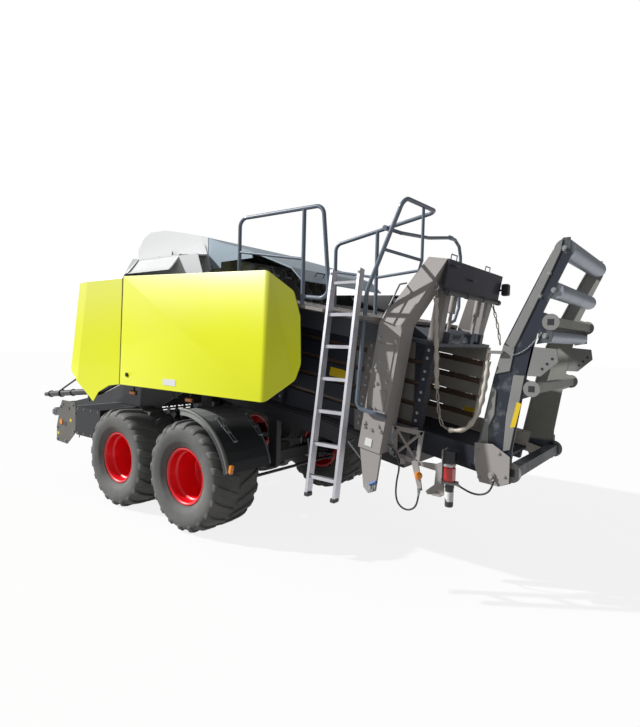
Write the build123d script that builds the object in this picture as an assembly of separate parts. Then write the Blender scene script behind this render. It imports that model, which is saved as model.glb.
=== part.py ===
from build123d import *
import os
from math import cos, radians, sin, tan

os.makedirs("parts", exist_ok=True)

# Large square baler: towed, tandem axle, bale chute folded up behind the chamber.
# Millimetres. While modelling, x runs forward from the rear axle, y to the left and z up from the ground.
# When a piece is written it moves back by CENTRE_X, so that the origin is under the middle of the machine.

# Wheels and axles
TYRE_R = 595
TYRE_W = 620
LUG_H = 24
LUGS = 20
RIM_SEAT_R = 286
FLANGE_R = 305
RIM_W = 508
WHEEL_Y = 1170
AXLE_GAP = 1280
SPINDLE_R = 45
DISC_S = -110
FIT = 0.3
KINGPIN_Y = 800
KINGPIN_R = 25
AXLE_SIZE = 130
AXLE_END_Y = 700
ARM_X = -270
ARM_Y = KINGPIN_Y
ARM_Z = 500
FENDER_R = 700
FENDER_T = 10
FENDER_IN_Y = 835
FENDER_OUT_Y = 1450
FENDER_FROM = 86
FENDER_TO = 168

# Bale chamber: its floor line slopes down to the rear
SLOPE = 9.5
CHAMBER_REAR_X = -2900
CHAMBER_REAR_Z = 1050
BALE_W = 1200
BALE_H = 900
CHAMBER_L = 4100
WALL_FROM = 600
WALL_T = 40
RAIL_L = 2300
RAIL_GAP = 42
RAILS = 5
FLOOR_T = 30
POST_W = 80
POST_T = 60

# Frame
BEAM_H = 150
BEAM_W = 90
BEAM_FROM = 700
BEAM_TO = 4900
CHEEK_T = 12
CHEEK_FRONT_X = 2450
FRONT_BOTTOM_Z = 640
PIVOT_X = 2050
PIVOT_Z = 850

# Density ring round the chamber, square to its slope
RING_U = (800, 1030)
RING_Y = (740, 950)
RING_W = (-70, 1040)
CROWN_U = (640, 820)
CROWN_FROM_W = 1385
CROWN_H = 275
CROWN_W = (CROWN_FROM_W, CROWN_FROM_W + CROWN_H)
CROWN_Y = (460, 670)
FOOT_U = 851
FOOT_W = -426
FOOT_T = 30

# Drawbar, hitch, jack and power take-off line
DRAWBAR = ((1900, 1310, 230, 300), (3300, 1290, 220, 280), (4000, 1050, 220, 240), (5200, 800, 220, 180))
HITCH_X = 5450
HITCH_Z = 690
EYE_R = 25.5
EYE_OUT_R = 62
EYE_T = 45
JACK_X = 4000
JACK_Y = -300
JACK_TOP_Z = 1150
JACK_TUBE = 90
JACK_LEG = 70
JACK_TRAVEL = 400
PTO_X = 4300
PTO_Z = 1080
PTO_TIP_X = 6300
PTO_TIP_Z = 860
YOKE_R = 17.5
YOKE_DEPTH = 80
FLYWHEEL_X = (2250, 2370)
FLYWHEEL_R = 400
FLYWHEEL_Z = 1740
BALL_X = 2440
BALL_R = 45
CARDAN_R = 50
HOLDER_RING_X = 5650

# Pick-up
PICKUP_Y = 1270
REEL_X = 2900
REEL_Z = 800
REEL_R = 255
GUARD_X = 2800
GUARD_Z = 1030
ROLLER_X = 3300
ROLLER_Z = 930
ROLLER_R = 60

# Panels
PANEL_Y = 1395
PANEL_T = 12
PANEL_LEAN = 1.7
SEAM_X = 1315
SEAM_GAP = 8

# Chute, folded up
CHUTE_X = -3000
CHUTE_Z = 1010
CHUTE_Y = 655
CHUTE_ROLLERS = ((-3460, 2800, 75), (-3400, 2490, 65), (-3350, 2145, 55))

REAR_X = CHUTE_ROLLERS[0][0] - CHUTE_ROLLERS[0][2]
CENTRE_X = (PTO_TIP_X + REAR_X) / 2


def box(x0, x1, y0, y1, z0, z1):
    return Pos((x0 + x1) / 2, (y0 + y1) / 2, (z0 + z1) / 2) * Box(abs(x1 - x0), abs(y1 - y0), abs(z1 - z0))


def side_plate(points, y0, y1):
    """An outline in x and z, extruded from y0 to y1."""
    face = make_face(Polyline([(x, z) for x, z in points], close=True))
    return Plane((0, min(y0, y1), 0), x_dir=(1, 0, 0), z_dir=(0, -1, 0)) * extrude(face, -abs(y1 - y0))


def cross_plate(points, x0, x1):
    """An outline in y and z, extruded from x0 to x1."""
    face = make_face(Polyline([(y, z) for y, z in points], close=True))
    return Plane((min(x0, x1), 0, 0), x_dir=(0, 1, 0), z_dir=(1, 0, 0)) * extrude(face, abs(x1 - x0))


def rod(start, end, radius):
    a, b = Vector(*start), Vector(*end)
    return Plane(a, z_dir=b - a) * Cylinder(radius, (b - a).length, align=(Align.CENTER, Align.CENTER, Align.MIN))


def pipe(start, end, radius, bore):
    return rod(start, end, radius) - rod(start, end, bore)


def bar(start, end, width, depth, across=(0, 1, 0)):
    """A flat bar between two points, its width along across."""
    a, b = Vector(*start), Vector(*end)
    plane = Plane(a, x_dir=Vector(*across), z_dir=b - a)
    return plane * Box(width, depth, (b - a).length, align=(Align.CENTER, Align.CENTER, Align.MIN))


def tube(points, radius, bend):
    """A round rail through points, each corner bent to the radius bend."""
    path = FilletPolyline(*points, radius=bend)
    start = path @ 0
    return sweep(Plane(start, z_dir=path % 0) * Circle(radius), path=path)


def mirrored(shape):
    return shape + mirror(shape, Plane.XZ)


def chamber_frame(shape):
    """Places a shape drawn along the chamber: x from its rear end, z from its floor."""
    return Pos(CHAMBER_REAR_X, 0, CHAMBER_REAR_Z) * Rot(0, -SLOPE, 0) * shape


def save(shape, node):
    solids = [s.moved(Location((-CENTRE_X, 0, 0))) for s in shape.solids()]
    export_step(solids[0] if len(solids) == 1 else Compound(children=solids), f"parts/{node}.step")


def ring_of(points):
    """Revolves an outline of (distance outwards, radius) about the y axis."""
    face = make_face(Polyline(list(points), close=True))
    return Rot(0, 0, 90) * revolve(face, Axis.X)


# Wheels: flotation tyres with two rows of slanting lugs on deep-dished rims
def tyre():
    half = [(241, RIM_SEAT_R), (241, 307), (262, 309), (298, 380), (TYRE_W / 2, 450), (302, 520), (272, 558), (200, TYRE_R - LUG_H)]
    inner = [(225, 330), (270, 400), (280, 460), (268, 525), (215, 543)]
    outer = half + [(-s, r) for s, r in reversed(half)]
    inside = [(-s, r) for s, r in inner] + list(reversed(inner))
    inside = [(-225, RIM_SEAT_R)] + inside + [(225, RIM_SEAT_R)]
    carcass = ring_of(outer + inside)
    lug = Box(62, 262, LUG_H + 30)
    tread = Rot(90, 0, 0) * Cylinder(TYRE_R, TYRE_W)
    slanted = {}
    for side in (1, -1):
        slanted[side] = (Pos(0, side * 142, LUG_H / 2 + 7 - TYRE_R) * Rot(0, 0, side * 24) * lug) & tread
    lugs = []
    for i in range(LUGS):
        for side in (1, -1):
            turn = 360 / LUGS * (i + (0.5 if side > 0 else 0))
            lugs.append(Rot(0, turn, 0) * slanted[side])
    return carcass + lugs


def rim():
    w = RIM_W / 2
    seat, flange = RIM_SEAT_R - FIT, FLANGE_R
    tyre_side = [(-w, flange), (-w + 10, flange), (-w + 12, seat), (-150, seat), (-120, 262), (150, 262), (170, seat),
                 (w - 12, seat), (w - 10, flange), (w, flange)]
    open_side = [(w, 294), (w - 4, 274), (165, 274), (145, 250), (DISC_S + 30, 250), (DISC_S + 15, 120),
                 (DISC_S + 15, 70), (DISC_S, 70), (DISC_S, 125), (DISC_S + 12, 240), (-125, 250), (-165, 274),
                 (-w + 4, 274), (-w, 294)]
    hub_end = DISC_S + 70
    hub = [(DISC_S - 50, SPINDLE_R + FIT), (hub_end - 15, SPINDLE_R + FIT), (hub_end - 15, 0), (hub_end + 15, 0),
           (hub_end + 15, 55), (hub_end, 62), (hub_end, 92), (DISC_S - 50, 100)]
    return ring_of(tyre_side + open_side) + ring_of(hub)


WHEEL_ROWS = (("front_left", AXLE_GAP, 1), ("front_right", AXLE_GAP, -1), ("rear_left", 0, 1), ("rear_right", 0, -1))
tyre_shape = tyre()
rim_shape = rim()
for name, x, side in WHEEL_ROWS:
    place = Pos(x, side * WHEEL_Y, TYRE_R) * (Rot(0, 0, 0) if side > 0 else Rot(0, 0, 180))
    save(place * tyre_shape, f"tyre_{name}")
    save(place * rim_shape, f"rim_{name}")

# Front axle: a beam with fixed spindles and brake drums
SPINDLE_END = WHEEL_Y + DISC_S + 70 - 15 - 2
DRUM_END = WHEEL_Y + DISC_S - 52
front_end = rod((AXLE_GAP, AXLE_END_Y, TYRE_R), (AXLE_GAP, SPINDLE_END, TYRE_R), SPINDLE_R)
front_end += rod((AXLE_GAP, DRUM_END - 110, TYRE_R), (AXLE_GAP, DRUM_END, TYRE_R), 160)
half_axle = AXLE_SIZE / 2
front_axle = box(AXLE_GAP - half_axle, AXLE_GAP + half_axle, -AXLE_END_Y, AXLE_END_Y, TYRE_R - half_axle,
                 TYRE_R + half_axle) + mirrored(front_end)

# Rear axle: the beam ends in forks that hold the kingpins
EAR_Z = 122
EAR_T = 26
fork = box(-55, 55, AXLE_END_Y - 10, AXLE_END_Y + 22, TYRE_R - EAR_Z - EAR_T, TYRE_R + EAR_Z + EAR_T)
for z in (TYRE_R + EAR_Z, TYRE_R - EAR_Z - EAR_T):
    fork += box(-55, 55, AXLE_END_Y, KINGPIN_Y, z, z + EAR_T)
    fork += Pos(0, KINGPIN_Y, z + EAR_T / 2) * Cylinder(55, EAR_T)
fork -= Pos(0, KINGPIN_Y, TYRE_R) * Cylinder(KINGPIN_R + FIT, 400)
rear_axle = box(-half_axle, half_axle, -AXLE_END_Y, AXLE_END_Y, TYRE_R - half_axle, TYRE_R + half_axle)
rear_axle += mirrored(fork)

# Leaf springs with a rocker between the two axles, hung from the frame beams
SPRING_Y = 620
SPRING_Z = TYRE_R + half_axle
LEAF_REACH = 470
LEAF_T = 16
spring = Part()
for x in (0, AXLE_GAP):
    for leaf in range(4):
        reach = LEAF_REACH - 90 * leaf
        z = SPRING_Z + LEAF_T * leaf
        spring += box(x - reach, x + reach, SPRING_Y - 40, SPRING_Y + 40, z, z + LEAF_T)
save(front_axle, "front_axle")
save(rear_axle, "rear_axle")
save(mirrored(spring), "leaf_springs")

# Steering knuckles, mudguards and tie rod
knuckle = Pos(0, KINGPIN_Y, TYRE_R) * Cylinder(48, 2 * EAR_Z - 2)
knuckle += Pos(0, KINGPIN_Y, TYRE_R) * Cylinder(KINGPIN_R, 2 * EAR_Z + 2 * EAR_T + 16)
knuckle += rod((0, KINGPIN_Y, TYRE_R), (0, SPINDLE_END, TYRE_R), SPINDLE_R)
knuckle += rod((0, DRUM_END - 110, TYRE_R), (0, DRUM_END, TYRE_R), 160)
knuckle += bar((-20, KINGPIN_Y, TYRE_R - 60), (ARM_X, ARM_Y, ARM_Z + 34), 60, 24, across=(0, 1, 0))
knuckle += Pos(ARM_X, ARM_Y, ARM_Z + 34) * Cylinder(34, 26)
knuckle += Pos(ARM_X, ARM_Y, ARM_Z + 4) * Cylinder(14, 66)
fender_mid = radians(128)
stay_end = (FENDER_R * cos(fender_mid), FENDER_IN_Y + 22, TYRE_R + FENDER_R * sin(fender_mid))
knuckle += box(-130, 0, FENDER_IN_Y - 24, FENDER_IN_Y, TYRE_R, TYRE_R + 90)
knuckle += bar((-100, FENDER_IN_Y - 12, TYRE_R + 50), (stay_end[0], FENDER_IN_Y - 12, stay_end[2]), 24, 60)
knuckle += box(stay_end[0] - 40, stay_end[0] + 40, FENDER_IN_Y - 24, FENDER_IN_Y, stay_end[2] - 60, stay_end[2])


def fender():
    steps = 10
    outer, inner = [], []
    for i in range(steps + 1):
        a = radians(FENDER_FROM + (FENDER_TO - FENDER_FROM) * i / steps)
        outer.append(((FENDER_R + FENDER_T) * cos(a), TYRE_R + (FENDER_R + FENDER_T) * sin(a)))
        inner.append((FENDER_R * cos(a), TYRE_R + FENDER_R * sin(a)))
    shell = side_plate(outer + inner[::-1], FENDER_IN_Y, FENDER_OUT_Y)
    lip_in = [((FENDER_R - 45) * cos(radians(FENDER_FROM + (FENDER_TO - FENDER_FROM) * i / steps)),
               TYRE_R + (FENDER_R - 45) * sin(radians(FENDER_FROM + (FENDER_TO - FENDER_FROM) * i / steps)))
              for i in range(steps + 1)]
    lip = side_plate(outer + lip_in[::-1], FENDER_OUT_Y - 12, FENDER_OUT_Y)
    return shell + lip


fender_shape = fender()
save(knuckle, "knuckle_left")
save(mirror(knuckle, Plane.XZ), "knuckle_right")
save(fender_shape, "mudguard_left")
save(mirror(fender_shape, Plane.XZ), "mudguard_right")
tie = rod((ARM_X, -ARM_Y, ARM_Z), (ARM_X, ARM_Y, ARM_Z), 18)
for side in (1, -1):
    tie += Pos(ARM_X, side * ARM_Y, ARM_Z) * Cylinder(32, 22)
for side in (1, -1):
    tie -= Pos(ARM_X, side * ARM_Y, ARM_Z) * Cylinder(14 + FIT, 60)
save(tie, "tie_rod")

# Bale chamber: railed side walls behind, closed plates in front
half_w = BALE_W / 2
outer_y = half_w + WALL_T
rail_h = (BALE_H - (RAILS - 1) * RAIL_GAP) / RAILS
walls = Part()
for i in range(RAILS):
    w0 = i * (rail_h + RAIL_GAP)
    walls += box(WALL_FROM if i else 0, RAIL_L, half_w, outer_y, w0, w0 + rail_h)
SIDE_BEAM_W = (BALE_H - 66, BALE_H + 104)
SIDE_BEAM_U = (1060, 3500)
SIDE_BEAM_Y = outer_y + 150
for u, top in ((WALL_FROM, BALE_H), (1180, SIDE_BEAM_W[0]), (RAIL_L - POST_W, SIDE_BEAM_W[0])):
    walls += box(u, u + POST_W, outer_y, outer_y + POST_T, -FLOOR_T, top)
walls += box(RAIL_L, CHAMBER_L, half_w, half_w + 14, 0, BALE_H)
STIFFENER_FROM = RAIL_L + 260
STIFFENER_PITCH = 600
for i in range(int((CHAMBER_L - 60 - STIFFENER_FROM) / STIFFENER_PITCH) + 1):
    u = STIFFENER_FROM + STIFFENER_PITCH * i
    walls += box(u, u + 60, half_w + 14, outer_y, 0, BALE_H)
chamber = mirrored(walls)
chamber += box(0, CHAMBER_L, -outer_y, outer_y, -FLOOR_T, 0)
for y in (-450, -150, 150, 450):
    chamber += box(0, CHAMBER_L, y - 30, y + 30, -FLOOR_T - 70, -FLOOR_T)
chamber = chamber_frame(chamber)
chamber += mirrored(rod((CHUTE_X, half_w, CHUTE_Z), (CHUTE_X, CHUTE_Y + 20, CHUTE_Z), 25))
chamber += mirrored(side_plate([(CHUTE_X - 40, CHUTE_Z - 45), (CHUTE_X - 40, CHUTE_Z + 40), (CHAMBER_REAR_X + 150, CHUTE_Z + 110),
                                (CHAMBER_REAR_X + 150, CHUTE_Z + 20)], half_w, outer_y))
save(chamber, "bale_chamber")

ROOF_T = 30
ROOF_BEAM_H = 100
roof = box(WALL_FROM, CHAMBER_L, -outer_y, outer_y, BALE_H, BALE_H + ROOF_T)
for y in (-380, -130, 130, 380):
    roof += box(WALL_FROM, CHAMBER_L - 900, y - 35, y + 35, BALE_H + ROOF_T, BALE_H + ROOF_T + ROOF_BEAM_H)
roof += mirrored(box(SIDE_BEAM_U[0], SIDE_BEAM_U[1], outer_y, SIDE_BEAM_Y, SIDE_BEAM_W[0], SIDE_BEAM_W[1]))
save(chamber_frame(roof), "chamber_roof")

# Main frame: two beams under the chamber, cheeks in front, spring hangers and cross members
beam_top = -FLOOR_T - 70
frame = mirrored(box(BEAM_FROM, BEAM_TO, outer_y - BEAM_W, outer_y, beam_top - BEAM_H, beam_top))
frame += mirrored(box(BEAM_FROM, CHAMBER_L, outer_y - BEAM_W, outer_y, beam_top, -FLOOR_T))
for u in (BEAM_FROM, 2000, 3100, 4000):
    frame += box(u, u + 100, -(outer_y - BEAM_W), outer_y - BEAM_W, beam_top - BEAM_H, beam_top)
frame = chamber_frame(frame)
cheek = [(600, 1560), (1500, 1150), (1800, FRONT_BOTTOM_Z), (2300, FRONT_BOTTOM_Z), (CHEEK_FRONT_X, 1100),
         (CHEEK_FRONT_X, 2250), (1600, 2600), (1000, 2640), (600, 2560)]
frame += mirrored(side_plate(cheek, outer_y, outer_y + CHEEK_T))
frame += box(1800, 1900, -outer_y, outer_y, 1080, 1380)
frame += box(CHEEK_FRONT_X - 80, CHEEK_FRONT_X, -outer_y, outer_y, 2150, 2250)
SLEEVE_R = 50
frame -= rod((PIVOT_X, -800, PIVOT_Z), (PIVOT_X, 800, PIVOT_Z), SLEEVE_R + FIT)
for x in (-LEAF_REACH - 60, AXLE_GAP / 2, AXLE_GAP + LEAF_REACH + 60):
    top = CHAMBER_REAR_Z + (x - CHAMBER_REAR_X) * tan(radians(SLOPE)) + (beam_top - BEAM_H / 2) / cos(radians(SLOPE))
    frame += mirrored(box(x - 60, x + 60, SPRING_Y - 50, SPRING_Y + 20, SPRING_Z, top))
rocker = box(LEAF_REACH, AXLE_GAP - LEAF_REACH, SPRING_Y - 40, SPRING_Y + 20, SPRING_Z, SPRING_Z + 60)
frame += mirrored(rocker)
HOOD_UNDER_Z = 3045
for x, z in ((1000, 2500), (1540, 2500), (2060, 2300)):
    frame += mirrored(box(x, x + 60, outer_y, outer_y + 60, z, HOOD_UNDER_Z))
HINGE_X, HINGE_Y = 2600, 1000
HINGE_ARM_Z = (1880, 2180)
HINGE_PIN_R = 14
hinge = rod((HINGE_X, HINGE_Y, HINGE_ARM_Z[0] - 10), (HINGE_X, HINGE_Y, HINGE_ARM_Z[1] + 80), HINGE_PIN_R)
for z in HINGE_ARM_Z:
    hinge += box(2400, 2440, outer_y + CHEEK_T, HINGE_Y + 15, z, z + 30)
    hinge += box(2400, HINGE_X, HINGE_Y - 15, HINGE_Y + 15, z, z + 30)
frame += mirrored(hinge)
save(frame, "main_frame")

# Density ring: a portal round the chamber with tapered shoulders and pivot feet
tower = box(RING_U[0], RING_U[1], RING_Y[0], RING_Y[1], RING_W[0], RING_W[1])
tower -= box(RING_U[0] + 14, RING_U[1] - 14, RING_Y[0] + 14, RING_Y[1] - 44, RING_W[0] + 60, RING_W[1] - 20)
tower -= box(RING_U[0] + 14, RING_U[1] - 14, RING_Y[0] - 1, RING_Y[0] + 15, RING_W[1] - 250, RING_W[1] - 20)
low = Pos(0, 0, RING_W[1]) * make_face(Polyline([(RING_U[0], RING_Y[0]), (RING_U[1], RING_Y[0]), (RING_U[1], RING_Y[1]),
                                               (RING_U[0], RING_Y[1])], close=True))
high = Pos(0, 0, CROWN_W[1]) * make_face(Polyline([(CROWN_U[0], CROWN_Y[0]), (CROWN_U[1], CROWN_Y[0]),
                                                 (CROWN_U[1], CROWN_Y[1]), (CROWN_U[0], CROWN_Y[1])], close=True))
tower += loft([low, high], ruled=True)
foot = side_plate([(RING_U[0], RING_W[0] + 10), (RING_U[1], RING_W[0] + 10), (FOOT_U + 60, FOOT_W - 20), (FOOT_U, FOOT_W - 60),
                   (FOOT_U - 60, FOOT_W - 20)], RING_Y[1] - 14 - FOOT_T, RING_Y[1] - 14)
foot -= rod((FOOT_U, 0, FOOT_W), (FOOT_U, 1200, FOOT_W), 30)
foot += box(RING_U[0], RING_U[1], outer_y, RING_Y[1], RING_W[0] - 30, RING_W[0] + 10)
ring = mirrored(tower + foot)
beam_end = CROWN_Y[0] + 100
ring += box(CROWN_U[0], CROWN_U[1], -beam_end, beam_end, CROWN_W[0] + 90, CROWN_W[1])
post = box(CROWN_U[0] + 20, CROWN_U[0] + 120, CROWN_Y[0] - 40, CROWN_Y[0] + 60, BALE_H + ROOF_T, CROWN_W[1] - 60)
ring += mirrored(post)
save(chamber_frame(ring), "density_ring")

cover = box(CROWN_U[0] - 22, CROWN_U[0] - 2, -CROWN_Y[1], CROWN_Y[1], CROWN_W[0], CROWN_W[1])
cover += box(CROWN_U[0] - 2, CROWN_U[0], -200, 200, CROWN_W[0] + 120, CROWN_W[1] - 60)
save(chamber_frame(cover), "ring_cover")

# Platform over the chamber, with the knotter stack on it
DECK_W = 1040
DECK_T = 30
DECK_TOP = DECK_W + DECK_T
DECK_EDGE_Y = 1140
STACK_U, STACK_W = 2950, 1240
STACK_BACK = 330
DECK_END = STACK_U - STACK_BACK - 20
deck = box(SIDE_BEAM_U[0], DECK_END, -800, DECK_EDGE_Y, DECK_W, DECK_TOP)
deck += box(1500, DECK_END + 100, 830, 1175, DECK_W, DECK_TOP)
deck += mirrored(box(SIDE_BEAM_U[0], DECK_END, SIDE_BEAM_Y - 50, SIDE_BEAM_Y, SIDE_BEAM_W[1], DECK_W))
deck = chamber_frame(deck)


def deck_z(x):
    """Height of the deck's top at x."""
    c, s = cos(radians(SLOPE)), sin(radians(SLOPE))
    return CHAMBER_REAR_Z + (x - CHAMBER_REAR_X + DECK_TOP * s) / c * s + DECK_TOP * c


stack = Part()
stack += rod((STACK_U, -700, STACK_W), (STACK_U, 700, STACK_W), 32)
for i in range(6):
    y = -500 + 200 * i
    stack += Pos(STACK_U, y, STACK_W) * Rot(90, 0, 0) * Cylinder(150, 26)
    stack += side_plate([(STACK_U - 320, 1045), (STACK_U + 120, 1045), (STACK_U + 100, 1300), (STACK_U - 60, 1330),
                         (STACK_U - 300, 1180)], y + 40, y + 60)
stack += box(STACK_U - STACK_BACK, STACK_U + 140, -700, 700, BALE_H + ROOF_T + ROOF_BEAM_H, 1050)
save(chamber_frame(stack), "knotter_stack")

# Railings and ladder
RAIL_R = 19
RAIL_Y = 1150
RAIL_FRONT_X = -490
RAIL_MID_X = -1340
front_rail = tube([(RAIL_FRONT_X, RAIL_Y, deck_z(RAIL_FRONT_X) - 12), (RAIL_FRONT_X, RAIL_Y, 3285), (-1560, RAIL_Y, 3275),
                   (-1650, RAIL_Y, 2440), (RAIL_MID_X, RAIL_Y, 2470)], RAIL_R, 90)
front_rail += rod((RAIL_MID_X, RAIL_Y, deck_z(RAIL_MID_X) - 12), (RAIL_MID_X, RAIL_Y, 3277), RAIL_R)
front_rail += rod((RAIL_FRONT_X, RAIL_Y, 2950), (RAIL_MID_X, RAIL_Y, 2815), RAIL_R - 5)
save(front_rail - deck, "railing_front")
FAR_Y = 390
FAR_X = -1150
POST_FOOT = (-1880, 1010, 1480)
POST_KNEE = (-1950, 1000, 2520)
rear_rail = tube([(-2160, RING_Y[1] + RAIL_R + FIT, 1420), POST_FOOT, POST_KNEE, (-2290, 1000, 3270), (-2290, FAR_Y, 3280),
                  (FAR_X, FAR_Y, 3080), (FAR_X, FAR_Y, deck_z(FAR_X) - 12)], RAIL_R, 80)
rear_rail += rod((-1660, FAR_Y, deck_z(-1660) - 12), (-1660, FAR_Y, 3172), RAIL_R)
for start, end in (((FAR_X, FAR_Y, 2800), (-1660, FAR_Y, 2710)), ((-1660, FAR_Y, 2710), (-2130, FAR_Y, 2750)),
                   ((-2130, FAR_Y, 2750), (-2285, 640, 2800)), ((-2285, 640, 2790), (-2285, 640, 3275)),
                   ((-2104, 1000, 2860), (-2285, 640, 2800))):
    rear_rail += rod(start, end, RAIL_R - 5)
deck -= rod(POST_FOOT, POST_KNEE, RAIL_R + 4)
save(rear_rail - deck, "railing_rear")
save(deck, "platform")

LADDER_X = (-1680, -1970)
LADDER_FOOT = (1420, 750)
LADDER_TOP = (1160, 2500)
ladder = Part()
for x in LADDER_X:
    ladder += bar((x, LADDER_FOOT[0], LADDER_FOOT[1]), (x, LADDER_TOP[0], LADDER_TOP[1]), 26, 70, across=(1, 0, 0))
for i in range(6):
    z = 905 + 278 * i
    y = LADDER_FOOT[0] + (LADDER_TOP[0] - LADDER_FOOT[0]) * (z - LADDER_FOOT[1]) / (LADDER_TOP[1] - LADDER_FOOT[1])
    ladder += box(LADDER_X[1], LADDER_X[0], y - 20, y + 20, z - 14, z + 14)
for x in LADDER_X:
    z = deck_z(x) - 14
    y = LADDER_FOOT[0] + (LADDER_TOP[0] - LADDER_FOOT[0]) * (z - LADDER_FOOT[1]) / (LADDER_TOP[1] - LADDER_FOOT[1])
    ladder += box(x - 13, x + 13, DECK_EDGE_Y, y, z - 14, z + 8)
save(ladder, "ladder")

# Side panels: flat green sheets with an inward end at the rear, hinged along the top edge
PANEL_OUTLINE = ((SEAM_X - SEAM_GAP, 1480), (SEAM_X - SEAM_GAP, 2785), (-1080, 2705), (-1300, 2520), (-1360, 2290),
                 (-1380, 1850), (-1340, 1700), (-1100, 1480))
plan = [(SEAM_X, PANEL_Y), (-1080, PANEL_Y), (-1370, PANEL_Y - 175), (-1370 + 6, PANEL_Y - 175 - PANEL_T),
        (-1080 + 3, PANEL_Y - PANEL_T), (SEAM_X, PANEL_Y - PANEL_T)]
panel = Pos(0, 0, 1400) * extrude(make_face(Polyline(plan, close=True)), 1500)
panel &= side_plate(PANEL_OUTLINE, 1000, 1600)
panel = Pos(0, PANEL_Y, 1480) * Rot(PANEL_LEAN, 0, 0) * Pos(0, -PANEL_Y, -1480) * panel
PIN_R = 10
PIN_DROP = 15


def panel_pin(x):
    """Centre of the top hinge, whose pin lies against the panel's inner face."""
    z = 2785 - PIN_DROP - (SEAM_X - SEAM_GAP - x) * 80 / (SEAM_X - SEAM_GAP + 1080)
    y = PANEL_Y - (z - 1480) * sin(radians(PANEL_LEAN)) - (PANEL_T + PIN_R + 0.05) * cos(radians(PANEL_LEAN))
    return x, y, z


save(panel, "side_panel_left")
save(mirror(panel, Plane.XZ), "side_panel_right")


def front_plan(z, y, nose_x):
    pts = [(SEAM_X + SEAM_GAP, y), (nose_x - 500, y), (nose_x - 180, y - 65), (nose_x, y - 260), (nose_x - 14, y - 262),
           (nose_x - 190, y - 76), (nose_x - 502, y - PANEL_T), (SEAM_X + SEAM_GAP, y - PANEL_T)]
    return Pos(0, 0, z) * make_face(Polyline(pts, close=True))


front = loft([front_plan(1150, 1400, 2880), front_plan(2760, 1360, 2640)], ruled=True)
front += loft([front_plan(2760, 1360, 2640), front_plan(3010, 1220, 2480)], ruled=True)
FRONT_OUTLINE = ((SEAM_X, 1480), (1550, 1450), (1790, 1350), (1910, 1220), (2430, 1500), (2950, 1700), (2950, 3100),
                 (SEAM_X, 3100))
front &= side_plate(FRONT_OUTLINE, 900, 1600)
for z, reach in ((HINGE_ARM_Z[0] + 34, 1282), (HINGE_ARM_Z[1] + 34, 1232)):
    front += box(HINGE_X - 12, HINGE_X + 12, HINGE_Y, reach, z, z + 20)
    front += Pos(HINGE_X, HINGE_Y, z + 10) * Cylinder(32, 20)
front -= rod((HINGE_X, HINGE_Y, 1800), (HINGE_X, HINGE_Y, 2300), HINGE_PIN_R + FIT)
save(front, "front_panel_left")
save(mirror(front, Plane.XZ), "front_panel_right")

# Hood: white shoulders between the panels and the hump over the knotters
HOOD_Y = 1195
hood = cross_plate([(-HOOD_Y, 3000), (-800, 3060), (800, 3060), (HOOD_Y, 3000), (HOOD_Y, 2985), (795, HOOD_UNDER_Z),
                    (-795, HOOD_UNDER_Z), (-HOOD_Y, 2985)], 450, 2000)
hood += box(2000, 2200, -900, 900, HOOD_UNDER_Z, 3060)
shoulder = [(1180, 3000), (1295, 2850), (1335, 2812), (1320, 2812), (1284, 2844), (1170, 2985)]
hood += mirrored(cross_plate(shoulder, 450, 1300))
HUMP = ((1890, 3060), (1890, 3230), (1760, 3380), (1600, 3440), (1270, 3430), (960, 3370), (580, 3290), (450, 3255))
hump = side_plate(HUMP + ((450, 3060),), -780, 780)
hump -= side_plate([(1876, 3060), (1876, 3225), (1752, 3368), (1598, 3426), (1270, 3416), (962, 3356), (582, 3276),
                    (449, 3242), (449, 3060)], -766, 766)
FLAP_PIN_X, FLAP_PIN_Z, FLAP_PIN_R = 443, 3246, 6
flap_ears = Part()
for y in (-560, 0, 560):
    hump -= box(445, 464, y + 6, y + 34, 3220, 3275)
    hump += box(441, 480, y - 34, y - 6, 3222, 3250)
    hump += rod((FLAP_PIN_X, y - 34, FLAP_PIN_Z), (FLAP_PIN_X, y + 34, FLAP_PIN_Z), FLAP_PIN_R)
    ear = side_plate([(400, 3236), (400, 3224), (440, 3236), (452, 3242), (452, 3250), (446, 3255), (436, 3252)], y + 12, y + 28)
    flap_ears += ear
flap_ears -= rod((FLAP_PIN_X, -700, FLAP_PIN_Z), (FLAP_PIN_X, 700, FLAP_PIN_Z), FLAP_PIN_R + FIT)
save(hood + hump, "hood")
FLAP = ((436, 3251), (230, 3180), (-40, 3105), (-280, 3035), (-580, 2930), (-870, 2820), (-1010, 2690))
lower = [(x, z - 14) for x, z in FLAP]
flap = side_plate(list(FLAP) + lower[::-1], -780, 780)
flap += mirrored(side_plate(list(FLAP[:4]) + [(-300, 2960), (300, 2950), (436, 2900)], 766, 780))
save(flap + flap_ears, "knotter_hood")

# Front fascia between the front panels
fascia = box(2560, 2574, -900, 900, 1900, 2700)
fascia += side_plate([(2560, 2700), (2574, 2700), (2480, 2985), (2200, 3060), (2200, 3045), (2470, 2972)], -900, 900)
fascia += box(CHEEK_FRONT_X, 2560, -60, 60, 2170, 2230)
save(fascia, "front_hood")

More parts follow.
